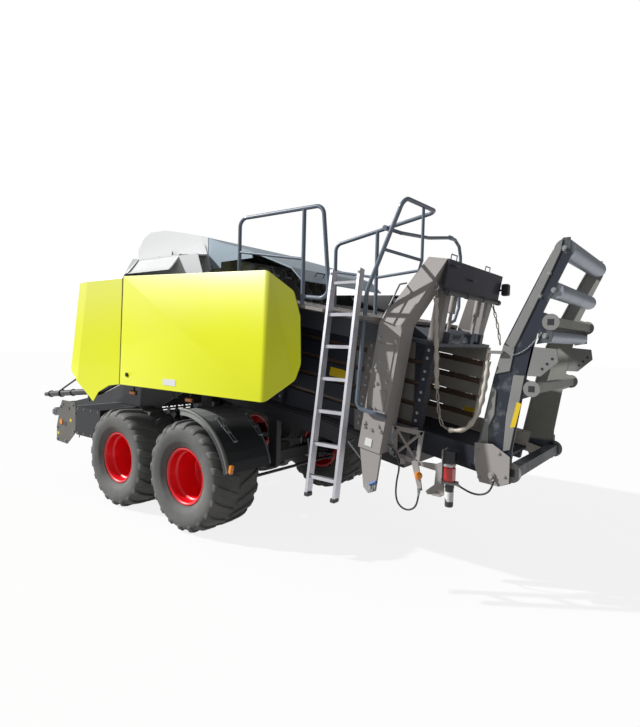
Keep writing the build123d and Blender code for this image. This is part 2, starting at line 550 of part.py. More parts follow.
# Drawbar and hitch eye
sections = []
for x, top, height, width in DRAWBAR:
    sections.append(Plane((x, 0, top - height / 2), x_dir=(0, 1, 0), z_dir=(1, 0, 0)) * Rectangle(width, height))
drawbar = loft(sections, ruled=True)
end_x = DRAWBAR[-1][0]
drawbar += box(end_x, end_x + 25, -110, 110, 560, 820)
save(drawbar, "drawbar")
eye = box(end_x + 25, end_x + 50, -90, 90, HITCH_Z - 90, HITCH_Z + 90)
eye += box(end_x + 50, HITCH_X - EYE_OUT_R + 12, -32, 32, HITCH_Z - EYE_T / 2, HITCH_Z + EYE_T / 2)
eye += Pos(HITCH_X, 0, HITCH_Z) * Cylinder(EYE_OUT_R, EYE_T)
eye -= Pos(HITCH_X, 0, HITCH_Z) * Cylinder(EYE_R, EYE_T + 10)
save(eye, "hitch_eye")

# Jack on the drawbar's right side
h = JACK_TUBE / 2
jack = box(JACK_X - h, JACK_X + h, JACK_Y - h, JACK_Y + h, 450, JACK_TOP_Z)
jack -= box(JACK_X - h + 8, JACK_X + h - 8, JACK_Y - h + 8, JACK_Y + h - 8, 440, JACK_TOP_Z - 15)
jack += box(JACK_X - 60, JACK_X + 60, JACK_Y + h, -100, 860, 1020)
jack -= drawbar
save(jack, "jack_tube")
g = h - 8 - FIT
leg = box(JACK_X - g, JACK_X + g, JACK_Y - g, JACK_Y + g, 20, 720)
leg += box(JACK_X - 120, JACK_X + 120, JACK_Y - 120, JACK_Y + 120, 0, 20)
save(leg, "jack_leg")

# Gearbox as a plain block, flywheel and feed rotor
GEAR_X = (1500, 2180)
gear = box(GEAR_X[0], GEAR_X[1], -260, 260, 1380, 2000)
save(gear, "gearbox")
fly = Pos(sum(FLYWHEEL_X) / 2, 0, FLYWHEEL_Z) * Rot(0, 90, 0) * Cylinder(FLYWHEEL_R, FLYWHEEL_X[1] - FLYWHEEL_X[0])
fly += rod((GEAR_X[1] + FIT, 0, FLYWHEEL_Z), (FLYWHEEL_X[1] + 20, 0, FLYWHEEL_Z), 50)
fly += rod((FLYWHEEL_X[1], 0, FLYWHEEL_Z), (BALL_X, 0, FLYWHEEL_Z), 28)
fly += Pos(BALL_X, 0, FLYWHEEL_Z) * Sphere(BALL_R)
save(fly, "flywheel")
ROTOR_R = 205
ROTOR_PIN_R = 30
rotor = rod((PIVOT_X, -outer_y + 15, PIVOT_Z), (PIVOT_X, outer_y - 15, PIVOT_Z), 90)
rotor += rod((PIVOT_X, -690, PIVOT_Z), (PIVOT_X, 690, PIVOT_Z), ROTOR_PIN_R)
star = [(r * cos(radians(a * 60 + d)), r * sin(radians(a * 60 + d)))
        for a in range(6) for d, r in ((0, 90), (26, ROTOR_R), (34, ROTOR_R))]
for i in range(9):
    y = -560 + 140 * i
    rotor += Pos(PIVOT_X, 0, PIVOT_Z) * side_plate(star, y - 8, y + 8)
save(rotor, "feed_rotor")

# Power take-off shaft, parked on its holder
joint = Vector(PTO_X, 0, PTO_Z)
along = (Vector(PTO_TIP_X, 0, PTO_TIP_Z) - joint).normalized()


def on_shaft(distance):
    p = joint + along * distance
    return p.X, p.Y, p.Z


ring_at = (HOLDER_RING_X - PTO_X) / along.X
ring_z = on_shaft(ring_at)[2]
holder = box(PTO_X - 60, PTO_X + 60, -90, 90, 900, PTO_Z + 75)
holder -= rod(on_shaft(-120), on_shaft(120), 40 + FIT)
holder += box(PTO_X + 60, 4450, 70, 90, 900, PTO_Z - 20)
holder += box(4400, 4450, 90, 120, 900, 1470)
holder += bar((4425, 105, 1455), (HOLDER_RING_X, 0, ring_z + 75), 24, 24)
holder += pipe(on_shaft(ring_at - 12), on_shaft(ring_at + 12), 75, 57.5)
save(holder - drawbar, "shaft_holder")
pto = rod(on_shaft(-70), on_shaft(75), 40)
pto += rod(on_shaft(-115), on_shaft(-70), 28)
pto += Pos(*on_shaft(-115)) * Sphere(BALL_R)
pto += rod(on_shaft(75), on_shaft(1830), 55)
pto += rod(on_shaft(1830), (PTO_TIP_X, 0, PTO_TIP_Z), 40)
pto -= rod((PTO_TIP_X, 0, PTO_TIP_Z), tuple(Vector(PTO_TIP_X, 0, PTO_TIP_Z) - along * YOKE_DEPTH), YOKE_R)
save(pto, "pto_shaft")
cardan = rod((BALL_X, 0, FLYWHEEL_Z), on_shaft(-115), CARDAN_R)
cardan -= Pos(BALL_X, 0, FLYWHEEL_Z) * Sphere(BALL_R + FIT)
cardan -= Pos(*on_shaft(-115)) * Sphere(BALL_R + FIT)
save(cardan, "cardan_shaft")

# Pick-up: side plates, boxes and pan, hung at the feed rotor's ends
PLATE = ((3000, 1130), (2630, 1130), (2570, 990), (2600, 720), (2850, 520), (3150, 530), (3150, 750), (3060, 1010))
BOX_IN_Y = 700
pick = side_plate(PLATE, PICKUP_Y - 12, PICKUP_Y)
pick -= rod((REEL_X, 0, REEL_Z), (REEL_X, 1400, REEL_Z), 30 + FIT)
pick -= rod((GUARD_X, 0, GUARD_Z), (GUARD_X, 1400, GUARD_Z), 20 + FIT)
pick += box(1970, 2590, BOX_IN_Y, PICKUP_Y, 690, 1080) - box(1978, 2582, BOX_IN_Y + 8, PICKUP_Y - 8, 680, 1072)
pick += pipe((PIVOT_X, outer_y - 10, PIVOT_Z), (PIVOT_X, BOX_IN_Y, PIVOT_Z), SLEEVE_R, ROTOR_PIN_R + FIT)
pick = mirrored(pick)
pick += box(2380, 2590, -BOX_IN_Y, BOX_IN_Y, 690, 702)
save(pick, "pickup_frame")
REEL_Y = 1215
reel = rod((REEL_X, -REEL_Y, REEL_Z), (REEL_X, REEL_Y, REEL_Z), 45)
reel += rod((REEL_X, -PICKUP_Y - 5, REEL_Z), (REEL_X, PICKUP_Y + 5, REEL_Z), 30)
for k in range(4):
    a = radians(90 * k + 20)
    bx, bz = REEL_X + 150 * cos(a), REEL_Z + 150 * sin(a)
    reel += rod((bx, -REEL_Y, bz), (bx, REEL_Y, bz), 16)
    for i in range(16):
        y = -1180 + 2360 / 15 * i
        reel += bar((REEL_X + 145 * cos(a), y, REEL_Z + 145 * sin(a)), (REEL_X + REEL_R * cos(a), y, REEL_Z + REEL_R * sin(a)), 10, 10)
for y in (-REEL_Y + 5, 0, REEL_Y - 5):
    reel += Pos(REEL_X, y, REEL_Z) * Rot(90, 0, 0) * Cylinder(175, 10)
save(reel, "pickup_reel")
guard = bar((GUARD_X, 1243, GUARD_Z), (ROLLER_X, 1243, ROLLER_Z), 14, 60)
guard += rod((GUARD_X, 1236, GUARD_Z), (GUARD_X, PICKUP_Y + 8, GUARD_Z), 20)
guard += rod((ROLLER_X, 1236, ROLLER_Z), (ROLLER_X, 1250, ROLLER_Z), 38)
guard -= rod((ROLLER_X, 1200, ROLLER_Z), (ROLLER_X, 1300, ROLLER_Z), 20 + FIT)
tube_at = 0.8
tube_x = GUARD_X + tube_at * (ROLLER_X - GUARD_X)
tube_z = GUARD_Z + tube_at * (ROLLER_Z - GUARD_Z)
GUARD_TUBE_R = 22
guard -= rod((tube_x, 1200, tube_z), (tube_x, 1300, tube_z), GUARD_TUBE_R + FIT)
guard = mirrored(guard) + rod((tube_x, -1246, tube_z), (tube_x, 1246, tube_z), GUARD_TUBE_R)
save(guard, "crop_guard")
roller = rod((ROLLER_X, -1225, ROLLER_Z), (ROLLER_X, 1225, ROLLER_Z), ROLLER_R)
roller += rod((ROLLER_X, -1256, ROLLER_Z), (ROLLER_X, 1256, ROLLER_Z), 20)
save(roller, "crop_roller")

# Twine boxes behind the side panels
TWINE_TOP = 2400
boxes = box(-900, 1150, SIDE_BEAM_Y, 1280, 1620, 1640)
boxes += box(-900, 1150, SIDE_BEAM_Y, SIDE_BEAM_Y + 20, 1620, TWINE_TOP)
for x in (-900, -220, 460, 1130):
    px, py, pz = panel_pin(x + 10)
    boxes += box(x, x + 20, SIDE_BEAM_Y, 1280, 1640, TWINE_TOP)
    boxes += box(x, x + 20, 1240, 1280, TWINE_TOP, pz + 6)
    boxes += box(x, x + 20, 1260, py, pz - 6, pz + 6)
    boxes += rod(panel_pin(x - 30), panel_pin(x + 50), PIN_R)
save(boxes, "twine_box_left")
save(mirror(boxes, Plane.XZ), "twine_box_right")

# Bale chute, folded up: two bent side channels, cross tubes and free rollers
chute_side = ((-2840, 1080), (-2850, 1190), (-2970, 1800), (-3040, 2070), (-3320, 2670), (-3380, 2790), (-3450, 2880),
              (-3500, 2880), (-3510, 2740), (-3430, 2560), (-3320, 2300), (-3230, 1830), (-3140, 1230), (-3140, 960),
              (-3060, 925), (-2960, 950))
plate = side_plate(chute_side, CHUTE_Y - 12, CHUTE_Y)
for x, z, r in CHUTE_ROLLERS[:2]:
    plate -= rod((x, 0, z), (x, 1000, z), 14 + FIT)
plate -= rod((CHUTE_X, 0, CHUTE_Z), (CHUTE_X, 1000, CHUTE_Z), 25 + FIT)
chute = mirrored(plate)
for ear in ([(-3290, 2340), (-3430, 2290), (-3430, 2210), (-3290, 2160)], [(-3210, 1810), (-3310, 1770), (-3310, 1690), (-3190, 1640)],
            [(-3330, 2200), (-3400, 2190), (-3400, 2100), (-3290, 2080)]):
    chute += mirrored(side_plate(ear, CHUTE_Y - 12, CHUTE_Y))
for x, z, s in ((-3390, 2250, 70), (-3270, 1730, 70), (-3140, 1050, 90)):
    chute += box(x - s / 2, x + s / 2, -CHUTE_Y, CHUTE_Y, z - s / 2, z + s / 2)
x, z, r = CHUTE_ROLLERS[2]
chute -= rod((x, -1000, z), (x, 1000, z), 14 + FIT)
save(chute, "bale_chute")
for number, (x, z, r) in enumerate(CHUTE_ROLLERS, 1):
    free = rod((x, -CHUTE_Y + 18, z), (x, CHUTE_Y - 18, z), r)
    free += rod((x, -CHUTE_Y - 6, z), (x, CHUTE_Y + 6, z), 14)
    save(free, f"chute_roller_{number}")
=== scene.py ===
from math import cos, pi, radians, sin

import bmesh
import bpy
from mathutils import Matrix, Vector


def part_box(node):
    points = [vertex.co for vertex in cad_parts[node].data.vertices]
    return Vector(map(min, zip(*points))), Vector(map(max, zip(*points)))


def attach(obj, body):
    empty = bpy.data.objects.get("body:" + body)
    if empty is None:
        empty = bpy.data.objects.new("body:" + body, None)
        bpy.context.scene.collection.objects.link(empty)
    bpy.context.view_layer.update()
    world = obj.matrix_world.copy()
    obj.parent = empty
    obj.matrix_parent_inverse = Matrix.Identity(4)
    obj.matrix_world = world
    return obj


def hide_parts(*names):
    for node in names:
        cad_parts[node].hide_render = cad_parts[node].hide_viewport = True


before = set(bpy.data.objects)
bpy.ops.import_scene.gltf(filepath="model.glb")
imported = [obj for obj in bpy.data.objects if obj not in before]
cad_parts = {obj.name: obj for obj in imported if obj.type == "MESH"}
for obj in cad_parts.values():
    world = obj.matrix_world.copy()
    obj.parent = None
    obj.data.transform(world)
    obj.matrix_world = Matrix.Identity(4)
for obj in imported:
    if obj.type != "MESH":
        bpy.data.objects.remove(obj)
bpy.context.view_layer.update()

# Camera and daylight
# The baler stands in the open, seen from behind its left rear corner at a standing person's height.
# Places are measured from the rear axle, as in the machine's drawings, and moved by axle_x.
rear_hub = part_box("rim_rear_left")
axle_x = (rear_hub[0].x + rear_hub[1].x) / 2


def place(x, y, z):
    """A place measured forwards from the rear axle, left from the middle and up from the ground."""
    return Vector((axle_x + x, y, z))


CAMERA_AT, LENS_MM, VIEW_REACH = (-4.4251, 4.835, 2.0583), 25.6, 200
YAW, PITCH, ROLL = radians(52.18), radians(-2.436), radians(1.439)
look = Vector((cos(YAW) * cos(PITCH), -sin(YAW) * cos(PITCH), sin(PITCH)))
level = look.cross(Vector((0, 0, 1))).normalized()
up = level.cross(look)
right = level * cos(ROLL) + up * sin(ROLL)
up = up * cos(ROLL) - level * sin(ROLL)
aim = Matrix((right, up, -look)).transposed().to_4x4()
camera = bpy.data.objects.new("camera", bpy.data.cameras.new("camera"))
camera.data.lens = LENS_MM
camera.data.clip_end = VIEW_REACH
camera.matrix_world = Matrix.Translation(place(*CAMERA_AT)) @ aim
bpy.context.scene.collection.objects.link(camera)
bpy.context.scene.camera = camera
bpy.context.scene.view_settings.view_transform = "Standard"

SUN_FROM, SUN_POWER, SUN_WIDTH = Vector((0.78, 0.47, 0.55)), 4.3, radians(1.2)
sun = bpy.data.objects.new("sun", bpy.data.lights.new("sun", "SUN"))
sun.data.energy = SUN_POWER
sun.data.angle = SUN_WIDTH
sun.rotation_euler = SUN_FROM.to_track_quat("Z", "Y").to_euler()
bpy.context.scene.collection.objects.link(sun)


class Wire:
    """A socket in a finish. Sums made with it add Math nodes."""

    def __init__(self, finish, socket):
        self.finish, self.socket = finish, socket

    def _sum(self, operation, *values):
        return self.finish.node("ShaderNodeMath", {"operation": operation}, values)

    def __add__(self, other):
        return self._sum("ADD", self, other)

    def __sub__(self, other):
        return self._sum("SUBTRACT", self, other)

    def __mul__(self, other):
        return self._sum("MULTIPLY", self, other)

    def between(self, low, high):
        """0 below low, 1 above high."""
        return self.finish.node("ShaderNodeMapRange", {"interpolation_type": "SMOOTHSTEP"},
                                {0: self, 1: low, 2: high})


class Finish:
    """A surface finish, with its nodes fed by the place on the piece."""

    def __init__(self, name, data=None):
        self.material = data or bpy.data.materials.new(name)
        self.material.use_nodes = True
        self.tree = self.material.node_tree
        self.tree.nodes.clear()

    def node(self, kind, settings=None, values=(), out=0):
        made = self.tree.nodes.new(kind)
        for key, value in (settings or {}).items():
            setattr(made, key, value)
        pairs = values.items() if isinstance(values, dict) else enumerate(values)
        for key, value in pairs:
            if isinstance(value, Wire):
                self.tree.links.new(value.socket, made.inputs[key])
            else:
                made.inputs[key].default_value = value
        return Wire(self, made.outputs[out]) if made.outputs else None

    def where(self):
        return self.node("ShaderNodeTexCoord", out=3)

    def axes(self):
        """The place on the piece along X, Y and Z."""
        split = self.node("ShaderNodeSeparateXYZ", None, (self.where(),)).socket.node
        return [Wire(self, split.outputs[axis]) for axis in "XYZ"]

    def noise(self, scale, detail):
        values = {"Vector": self.where(), "Scale": scale, "Detail": detail, "Roughness": 0.6}
        return self.node("ShaderNodeTexNoise", None, values)

    def mix(self, share, a, b):
        return self.node("ShaderNodeMix", {"data_type": "RGBA"}, {0: share, 6: a, 7: b}, 2)

    def bump(self, height, depth, strength):
        values = {"Height": height, "Distance": depth, "Strength": strength}
        return self.node("ShaderNodeBump", None, values)

    def surface(self, **values):
        inputs = {key.replace("_", " ").title(): value for key, value in values.items()}
        made = self.node("ShaderNodeBsdfPrincipled", None, inputs)
        self.node("ShaderNodeOutputMaterial", None, {"Surface": made})
        return self.material


SKY_LIGHT = 0.28
world = bpy.data.worlds.new("sky")
bpy.context.scene.world = world
world.use_nodes = True
sky = Finish("sky", world)
ray = sky.node("ShaderNodeLightPath")
seen = Wire(sky, ray.socket.node.outputs["Is Camera Ray"])
through = Wire(sky, ray.socket.node.outputs["Is Transmission Ray"])
strength = (seen + through).between(0.0, 0.9) * (1 - SKY_LIGHT) + SKY_LIGHT
backdrop = sky.node("ShaderNodeBackground", None, ((1, 1, 1, 1), strength))
sky.node("ShaderNodeOutputWorld", None, {"Surface": backdrop})

GROUND_REACH, GROUND_GLOW = 60, 0.85
ground = bmesh.new()
bmesh.ops.create_grid(ground, x_segments=1, y_segments=1, size=GROUND_REACH)
ground_mesh = bpy.data.meshes.new("ground")
ground.to_mesh(ground_mesh)
ground.free()
ground_object = bpy.data.objects.new("ground", ground_mesh)
bpy.context.scene.collection.objects.link(ground_object)
white_ground = Finish("ground")
ray = white_ground.node("ShaderNodeLightPath")
seen = Wire(white_ground, ray.socket.node.outputs["Is Camera Ray"])
mirrored = Wire(white_ground, ray.socket.node.outputs["Is Glossy Ray"])
direct = (seen + mirrored).between(0.0, 0.9)
shade = white_ground.mix(direct, (0.32, 0.32, 0.31, 1), (0.9, 0.9, 0.9, 1))
dull = white_ground.node("ShaderNodeBsdfDiffuse", None, {"Color": shade})
bright = white_ground.node("ShaderNodeEmission", None, {"Strength": 1.0})
both = white_ground.node("ShaderNodeMixShader", None, {0: direct * GROUND_GLOW, 1: dull, 2: bright})
white_ground.node("ShaderNodeOutputMaterial", None, {"Surface": both})
ground_mesh.materials.append(white_ground.material)


# Tyres
# Wide flotation tyres of black rubber with two rows of chunky lugs that wrap over the shoulder.
# Each tyre is moulded in one piece and dusted in random patches all over.
def rubber():
    """Black rubber with dust dried on it."""
    f = Finish("tyre_rubber")
    fine, broad = f.noise(55, 6), f.noise(3.2, 5)
    dusty = f.mix(broad.between(0.4, 0.7) * 0.6, (0.12, 0.123, 0.12, 1), (0.2, 0.19, 0.18, 1))
    colour = f.mix(fine.between(0.55, 0.75) * 0.3, dusty, (0.17, 0.16, 0.15, 1))
    return f.surface(base_color=colour, roughness=fine * 0.25 + 0.62, normal=f.bump(fine, 0.004, 0.35))


tyre_rubber = rubber()
WHEELS = ("front_left", "front_right", "rear_left", "rear_right")
AXLE_GAP, WHEEL_Y, HUB_Z = 1.28, 1.17, 0.595
CARCASS = ((0.241, 0.287), (0.243, 0.307), (0.253, 0.315), (0.262, 0.318), (0.268, 0.332), (0.272, 0.336),
           (0.281, 0.36), (0.287, 0.366), (0.296, 0.395), (0.305, 0.43), (0.309, 0.46), (0.307, 0.49),
           (0.301, 0.515), (0.288, 0.54), (0.265, 0.556), (0.225, 0.566), (0.12, 0.571))
CARCASS_INSIDE = ((0.225, 0.287), (0.255, 0.35), (0.285, 0.44), (0.262, 0.52), (0.2, 0.545))
# columns: foot outwards, foot radius, face outwards, face radius, half width
LUG_STATIONS = ((0.010, 0.560, 0.012, 0.595, 0.026), (0.075, 0.560, 0.075, 0.595, 0.028),
                (0.14, 0.560, 0.14, 0.594, 0.03), (0.205, 0.558, 0.206, 0.592, 0.032),
                (0.248, 0.55, 0.254, 0.585, 0.034), (0.272, 0.538, 0.283, 0.568, 0.036),
                (0.289, 0.52, 0.3, 0.54, 0.036), (0.3, 0.5, 0.306, 0.506, 0.034))
LUG_COUNT, LUG_LEAN, LUG_MIDDLE = 20, radians(24), 0.142
LUG_FACE_SHARE, LUG_FOOT_SHARE = 0.86, 1.1


def spun(mesh, outline, steps=96):
    """Turns a closed outline of (distance outwards, radius) about the axle."""
    ring = [mesh.verts.new((0, s, -r)) for s, r in outline]
    hoop = [mesh.edges.new(pair) for pair in zip(ring, ring[1:] + ring[:1])]
    bmesh.ops.spin(mesh, geom=ring + hoop, cent=(0, 0, 0), axis=(0, 1, 0), dvec=(0, 0, 0), angle=2 * pi,
                   steps=steps, use_merge=True)
    bmesh.ops.remove_doubles(mesh, verts=mesh.verts[:], dist=0.00001)
    bmesh.ops.recalc_face_normals(mesh, faces=mesh.faces[:])


def soften(mesh, edges, offset, segments=1):
    """Takes the sharpness off edges with a small bevel."""
    bmesh.ops.bevel(mesh, geom=edges, offset=offset, segments=segments, profile=0.5, affect="EDGES",
                    material=-1)


def tread_lug(side):
    """One lug at the bottom of the tyre, leaning back towards its outer end."""
    made = bmesh.new()
    bmesh.ops.create_cube(made, size=1)
    along = [e for e in made.edges if abs(e.verts[0].co.y - e.verts[1].co.y) > 0.5]
    bmesh.ops.subdivide_edges(made, edges=along, cuts=len(LUG_STATIONS) - 2, use_grid_fill=True)
    for v in made.verts:
        station = LUG_STATIONS[round((v.co.y + 0.5) * (len(LUG_STATIONS) - 1))]
        foot_s, foot_r, face_s, face_r, half = station
        on_face = v.co.z > 0
        s, r = (face_s, face_r) if on_face else (foot_s, foot_r)
        share = LUG_FACE_SHARE if on_face else LUG_FOOT_SHARE
        lean = (s - LUG_MIDDLE) * sin(LUG_LEAN) / cos(LUG_LEAN)
        reach = v.co.x * 2 * half * share / cos(LUG_LEAN) - lean
        v.co = Vector((r * sin(reach / r), side * s, -r * cos(reach / r)))
    bmesh.ops.recalc_face_normals(made, faces=made.faces[:])
    soften(made, [e for e in made.edges if e.calc_face_angle(0) > 0.7], 0.005)
    data = bpy.data.meshes.new("lug")
    made.to_mesh(data)
    made.free()
    return data


def hub_place(wheel):
    """Where a wheel stands, with its outer side turned away from the machine."""
    left = wheel.endswith("left")
    spot = Matrix.Translation(place(AXLE_GAP if wheel.startswith("front") else 0,
                                    WHEEL_Y if left else -WHEEL_Y, HUB_Z))
    return spot if left else spot @ Matrix.Rotation(pi, 4, "Z")


FLAT_AREA, SHARP_ANGLE = 0.05, radians(35)


def piece(name, mesh, body, finish, smooth=True):
    """Turns a bmesh into a piece that moves with a body."""
    data = bpy.data.meshes.new(name)
    mesh.to_mesh(data)
    mesh.free()
    made = bpy.data.objects.new(name, data)
    bpy.context.scene.collection.objects.link(made)
    data.materials.append(finish)
    for face in data.polygons:
        face.use_smooth = smooth and face.area < FLAT_AREA
    if smooth:
        data.set_sharp_from_angle(angle=SHARP_ANGLE)
    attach(made, body)
    return made


whole_tyre = bmesh.new()
inner_half = tuple((-s, r) for s, r in reversed(CARCASS))
inner_inside = tuple((-s, r) for s, r in CARCASS_INSIDE)
spun(whole_tyre, CARCASS + inner_half + inner_inside + tuple(reversed(CARCASS_INSIDE)))
for side in (1, -1):
    lug = tread_lug(side)
    for i in range(LUG_COUNT):
        kept = len(whole_tyre.verts)
        whole_tyre.from_mesh(lug)
        whole_tyre.verts.ensure_lookup_table()
        turn = Matrix.Rotation(2 * pi / LUG_COUNT * (i + (0.5 if side > 0 else 0)), 3, "Y")
        bmesh.ops.rotate(whole_tyre, verts=whole_tyre.verts[kept:], cent=(0, 0, 0), matrix=turn)
for wheel in WHEELS:
    mesh = whole_tyre.copy()
    mesh.transform(hub_place(wheel))
    tyre = piece(f"flotation_tyre_{wheel}", mesh, f"wheel_{wheel}", tyre_rubber)
    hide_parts(f"tyre_{wheel}")
whole_tyre.free()


# Rims
# Deep-dished pressed steel rims in red enamel, each with a valve.
# A rim is bolted by ten nuts to a grey hub.
def enamel(name, colour, dark, gloss=0.22, grime=0.25):
    """A glossy coat with broad patches of grime."""
    f = Finish(name)
    broad, fine = f.noise(2.4, 5), f.noise(90, 3)
    tone = f.mix(broad.between(0.35, 0.75) * grime, (*colour, 1), (*dark, 1))
    return f.surface(base_color=tone, roughness=broad * 0.2 + gloss, coat_weight=0.25,
                     normal=f.bump(fine, 0.0006, 0.2))


def barrel(mesh, start, end, radius, far_radius=None, sides=24):
    """A round bar, cone or nut between two points."""
    start, end = Vector(start), Vector(end)
    along = end - start
    matrix = Matrix.Translation((start + end) / 2) @ along.to_track_quat("Z", "Y").to_matrix().to_4x4()
    bmesh.ops.create_cone(mesh, cap_ends=True, segments=sides, radius1=radius,
                          radius2=radius if far_radius is None else far_radius, depth=along.length,
                          matrix=matrix)


rim_red = enamel("rim_red", (0.85, 0.004, 0.014), (0.6, 0.005, 0.012), 0.3)
RIM = ((-0.254, 0.303), (-0.25, 0.305), (-0.245, 0.305), (-0.242, 0.2855), (-0.15, 0.2855), (-0.12, 0.262),
       (0.15, 0.262), (0.17, 0.2855), (0.242, 0.2855), (0.244, 0.303), (0.248, 0.306), (0.253, 0.304),
       (0.255, 0.298), (0.252, 0.29), (0.246, 0.28), (0.236, 0.275), (0.168, 0.274), (0.158, 0.268),
       (0.147, 0.253), (0.138, 0.25), (-0.06, 0.249), (-0.082, 0.244), (-0.09, 0.232), (-0.094, 0.16),
       (-0.095, 0.07), (-0.11, 0.07), (-0.11, 0.125), (-0.1, 0.24), (-0.125, 0.25), (-0.165, 0.274),
       (-0.248, 0.274), (-0.254, 0.294))
HUB = ((-0.16, 0.0455), (-0.055, 0.0455), (-0.055, 0.0), (-0.024, 0.0), (-0.024, 0.03), (-0.028, 0.05),
       (-0.034, 0.058), (-0.04, 0.064), (-0.04, 0.09), (-0.046, 0.094), (-0.088, 0.096), (-0.09, 0.15),
       (-0.094, 0.154), (-0.096, 0.1), (-0.16, 0.1))
WHEEL_NUTS, NUT_RING, NUT_SEAT = 10, 0.128, -0.09
hub_grey = enamel("hub_grey", (0.2, 0.2, 0.2), (0.1, 0.1, 0.1), 0.4)
whole_rim, whole_hub = bmesh.new(), bmesh.new()
spun(whole_rim, RIM)
spun(whole_hub, HUB, 64)
for i in range(WHEEL_NUTS):
    a = 2 * pi / WHEEL_NUTS * i
    foot = Vector((NUT_RING * cos(a), NUT_SEAT, NUT_RING * sin(a)))
    barrel(whole_hub, foot, foot + Vector((0, 0.022, 0)), 0.016, 0.015, sides=6)
    barrel(whole_hub, foot + Vector((0, 0.02, 0)), foot + Vector((0, 0.036, 0)), 0.009, sides=12)
barrel(whole_rim, (0.2, -0.06, 0.118), (0.214, -0.02, 0.126), 0.006, sides=10)
for wheel in WHEELS:
    for whole, name, finish in ((whole_rim, "dished_rim", rim_red), (whole_hub, "hub", hub_grey)):
        mesh = whole.copy()
        mesh.transform(hub_place(wheel))
        made = piece(f"{name}_{wheel}", mesh, f"wheel_{wheel}", finish)
        if whole is whole_rim:
            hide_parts(f"rim_{wheel}")


# Frame and axles
# Welded steel beams, axle tubes and drums under the chamber, in dark paint under road dust.
# Leaf springs carry the axles, and zinc clips with nuts hold them together.
def steelwork(name, colour, worn, gloss=0.42):
    """Painted steel under dust, rubbed paler in small spots."""
    f = Finish(name)
    broad, fine = f.noise(1.6, 6), f.noise(40, 5)
    dust = f.mix(broad.between(0.4, 0.75) * 0.5, (*colour, 1), (*worn, 1))
    tone = f.mix(fine.between(0.66, 0.74) * 0.35, dust, (*(min(1, c * 1.5) for c in worn), 1))
    return f.surface(base_color=tone, roughness=fine * 0.25 + gloss, normal=f.bump(fine, 0.001, 0.2))


def dress(finish, *nodes):
    """Gives the frame's own nodes a finish."""
    for name in nodes:
        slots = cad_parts[name].data.materials
        slots.clear()
        slots.append(finish)


def block(mesh, low, high, edge=0.0, turn=None):
    """A bevelled block between two corners, turned about its middle."""
    low, high = Vector(low), Vector(high)
    size = Matrix.Diagonal((*(high - low), 1))
    matrix = Matrix.Translation((low + high) / 2) @ (turn or Matrix.Identity(4)) @ size
    made = bmesh.ops.create_cube(mesh, size=1, matrix=matrix)["verts"]
    if edge:
        soften(mesh, list({e for v in made for e in v.link_edges}), edge)


dark_grey = steelwork("dark_grey", (0.016, 0.017, 0.022), (0.04, 0.04, 0.045))
dress(dark_grey, "main_frame", "leaf_springs", "front_axle", "rear_axle", "tie_rod", "knuckle_left",
      "knuckle_right", "gearbox", "twine_box_left", "twine_box_right", "feed_rotor")


def worn_zinc(name, colour, rough):
    """Bare or zinc-plated metal, dulled in patches."""
    f = Finish(name)
    broad, fine = f.noise(5, 6), f.noise(120, 4)
    tone = f.mix(broad.between(0.35, 0.7) * 0.4, (*colour, 1), (*(c * 0.65 for c in colour), 1))
    return f.surface(base_color=tone, metallic=0.75, roughness=fine * 0.25 + rough,
                     normal=f.bump(fine, 0.0008, 0.2))


zinc = worn_zinc("zinc", (0.34, 0.35, 0.36), 0.42)
SPRING_Y, CLIP_X, CLIP_Y = 0.62, 0.06, 0.046
CLIP_LOW, CLIP_HIGH = 0.52, 0.75
NUT_LOW, NUT_HIGH = 0.724, 0.738
spring_clips = bmesh.new()
for side in (1, -1):
    for x in (0, AXLE_GAP):
        for dx in (-CLIP_X, CLIP_X):
            for dy in (-CLIP_Y, CLIP_Y):
                leg = (x + dx, side * SPRING_Y + dy)
                barrel(spring_clips, place(*leg, CLIP_LOW), place(*leg, CLIP_HIGH), 0.009, sides=10)
                barrel(spring_clips, place(*leg, NUT_LOW), place(*leg, NUT_HIGH), 0.016, sides=6)
        block(spring_clips, place(x - 0.08, side * SPRING_Y - 0.06, 0.512),
              place(x + 0.08, side * SPRING_Y + 0.06, 0.53), 0.003)
piece("spring_clips", spring_clips, "baler", zinc, smooth=False)


# Drawbar, jack and towing eye
# A tapered box beam of welded plate, with a bolted towing eye and the drive shaft's holder.
# A square jack leg stands on its right and is wound by a crank.
def bent_rod(mesh, points, radius, sides=12):
    """A round rod through points, with a ball at each bend."""
    for start, end in zip(points, points[1:]):
        barrel(mesh, start, end, radius, sides=sides)
    for point in points[1:-1]:
        bmesh.ops.create_uvsphere(mesh, u_segments=sides, v_segments=6, radius=radius,
                                  matrix=Matrix.Translation(point))


def bolt(mesh, at, out, radius=0.012, height=0.01):
    """A hexagon head on a washer, standing on a face that looks along out."""
    at, out = Vector(at), Vector(out).normalized()
    barrel(mesh, at - out * 0.002, at + out * 0.003, radius * 1.5, sides=20)
    barrel(mesh, at + out * 0.002, at + out * height, radius, sides=6)


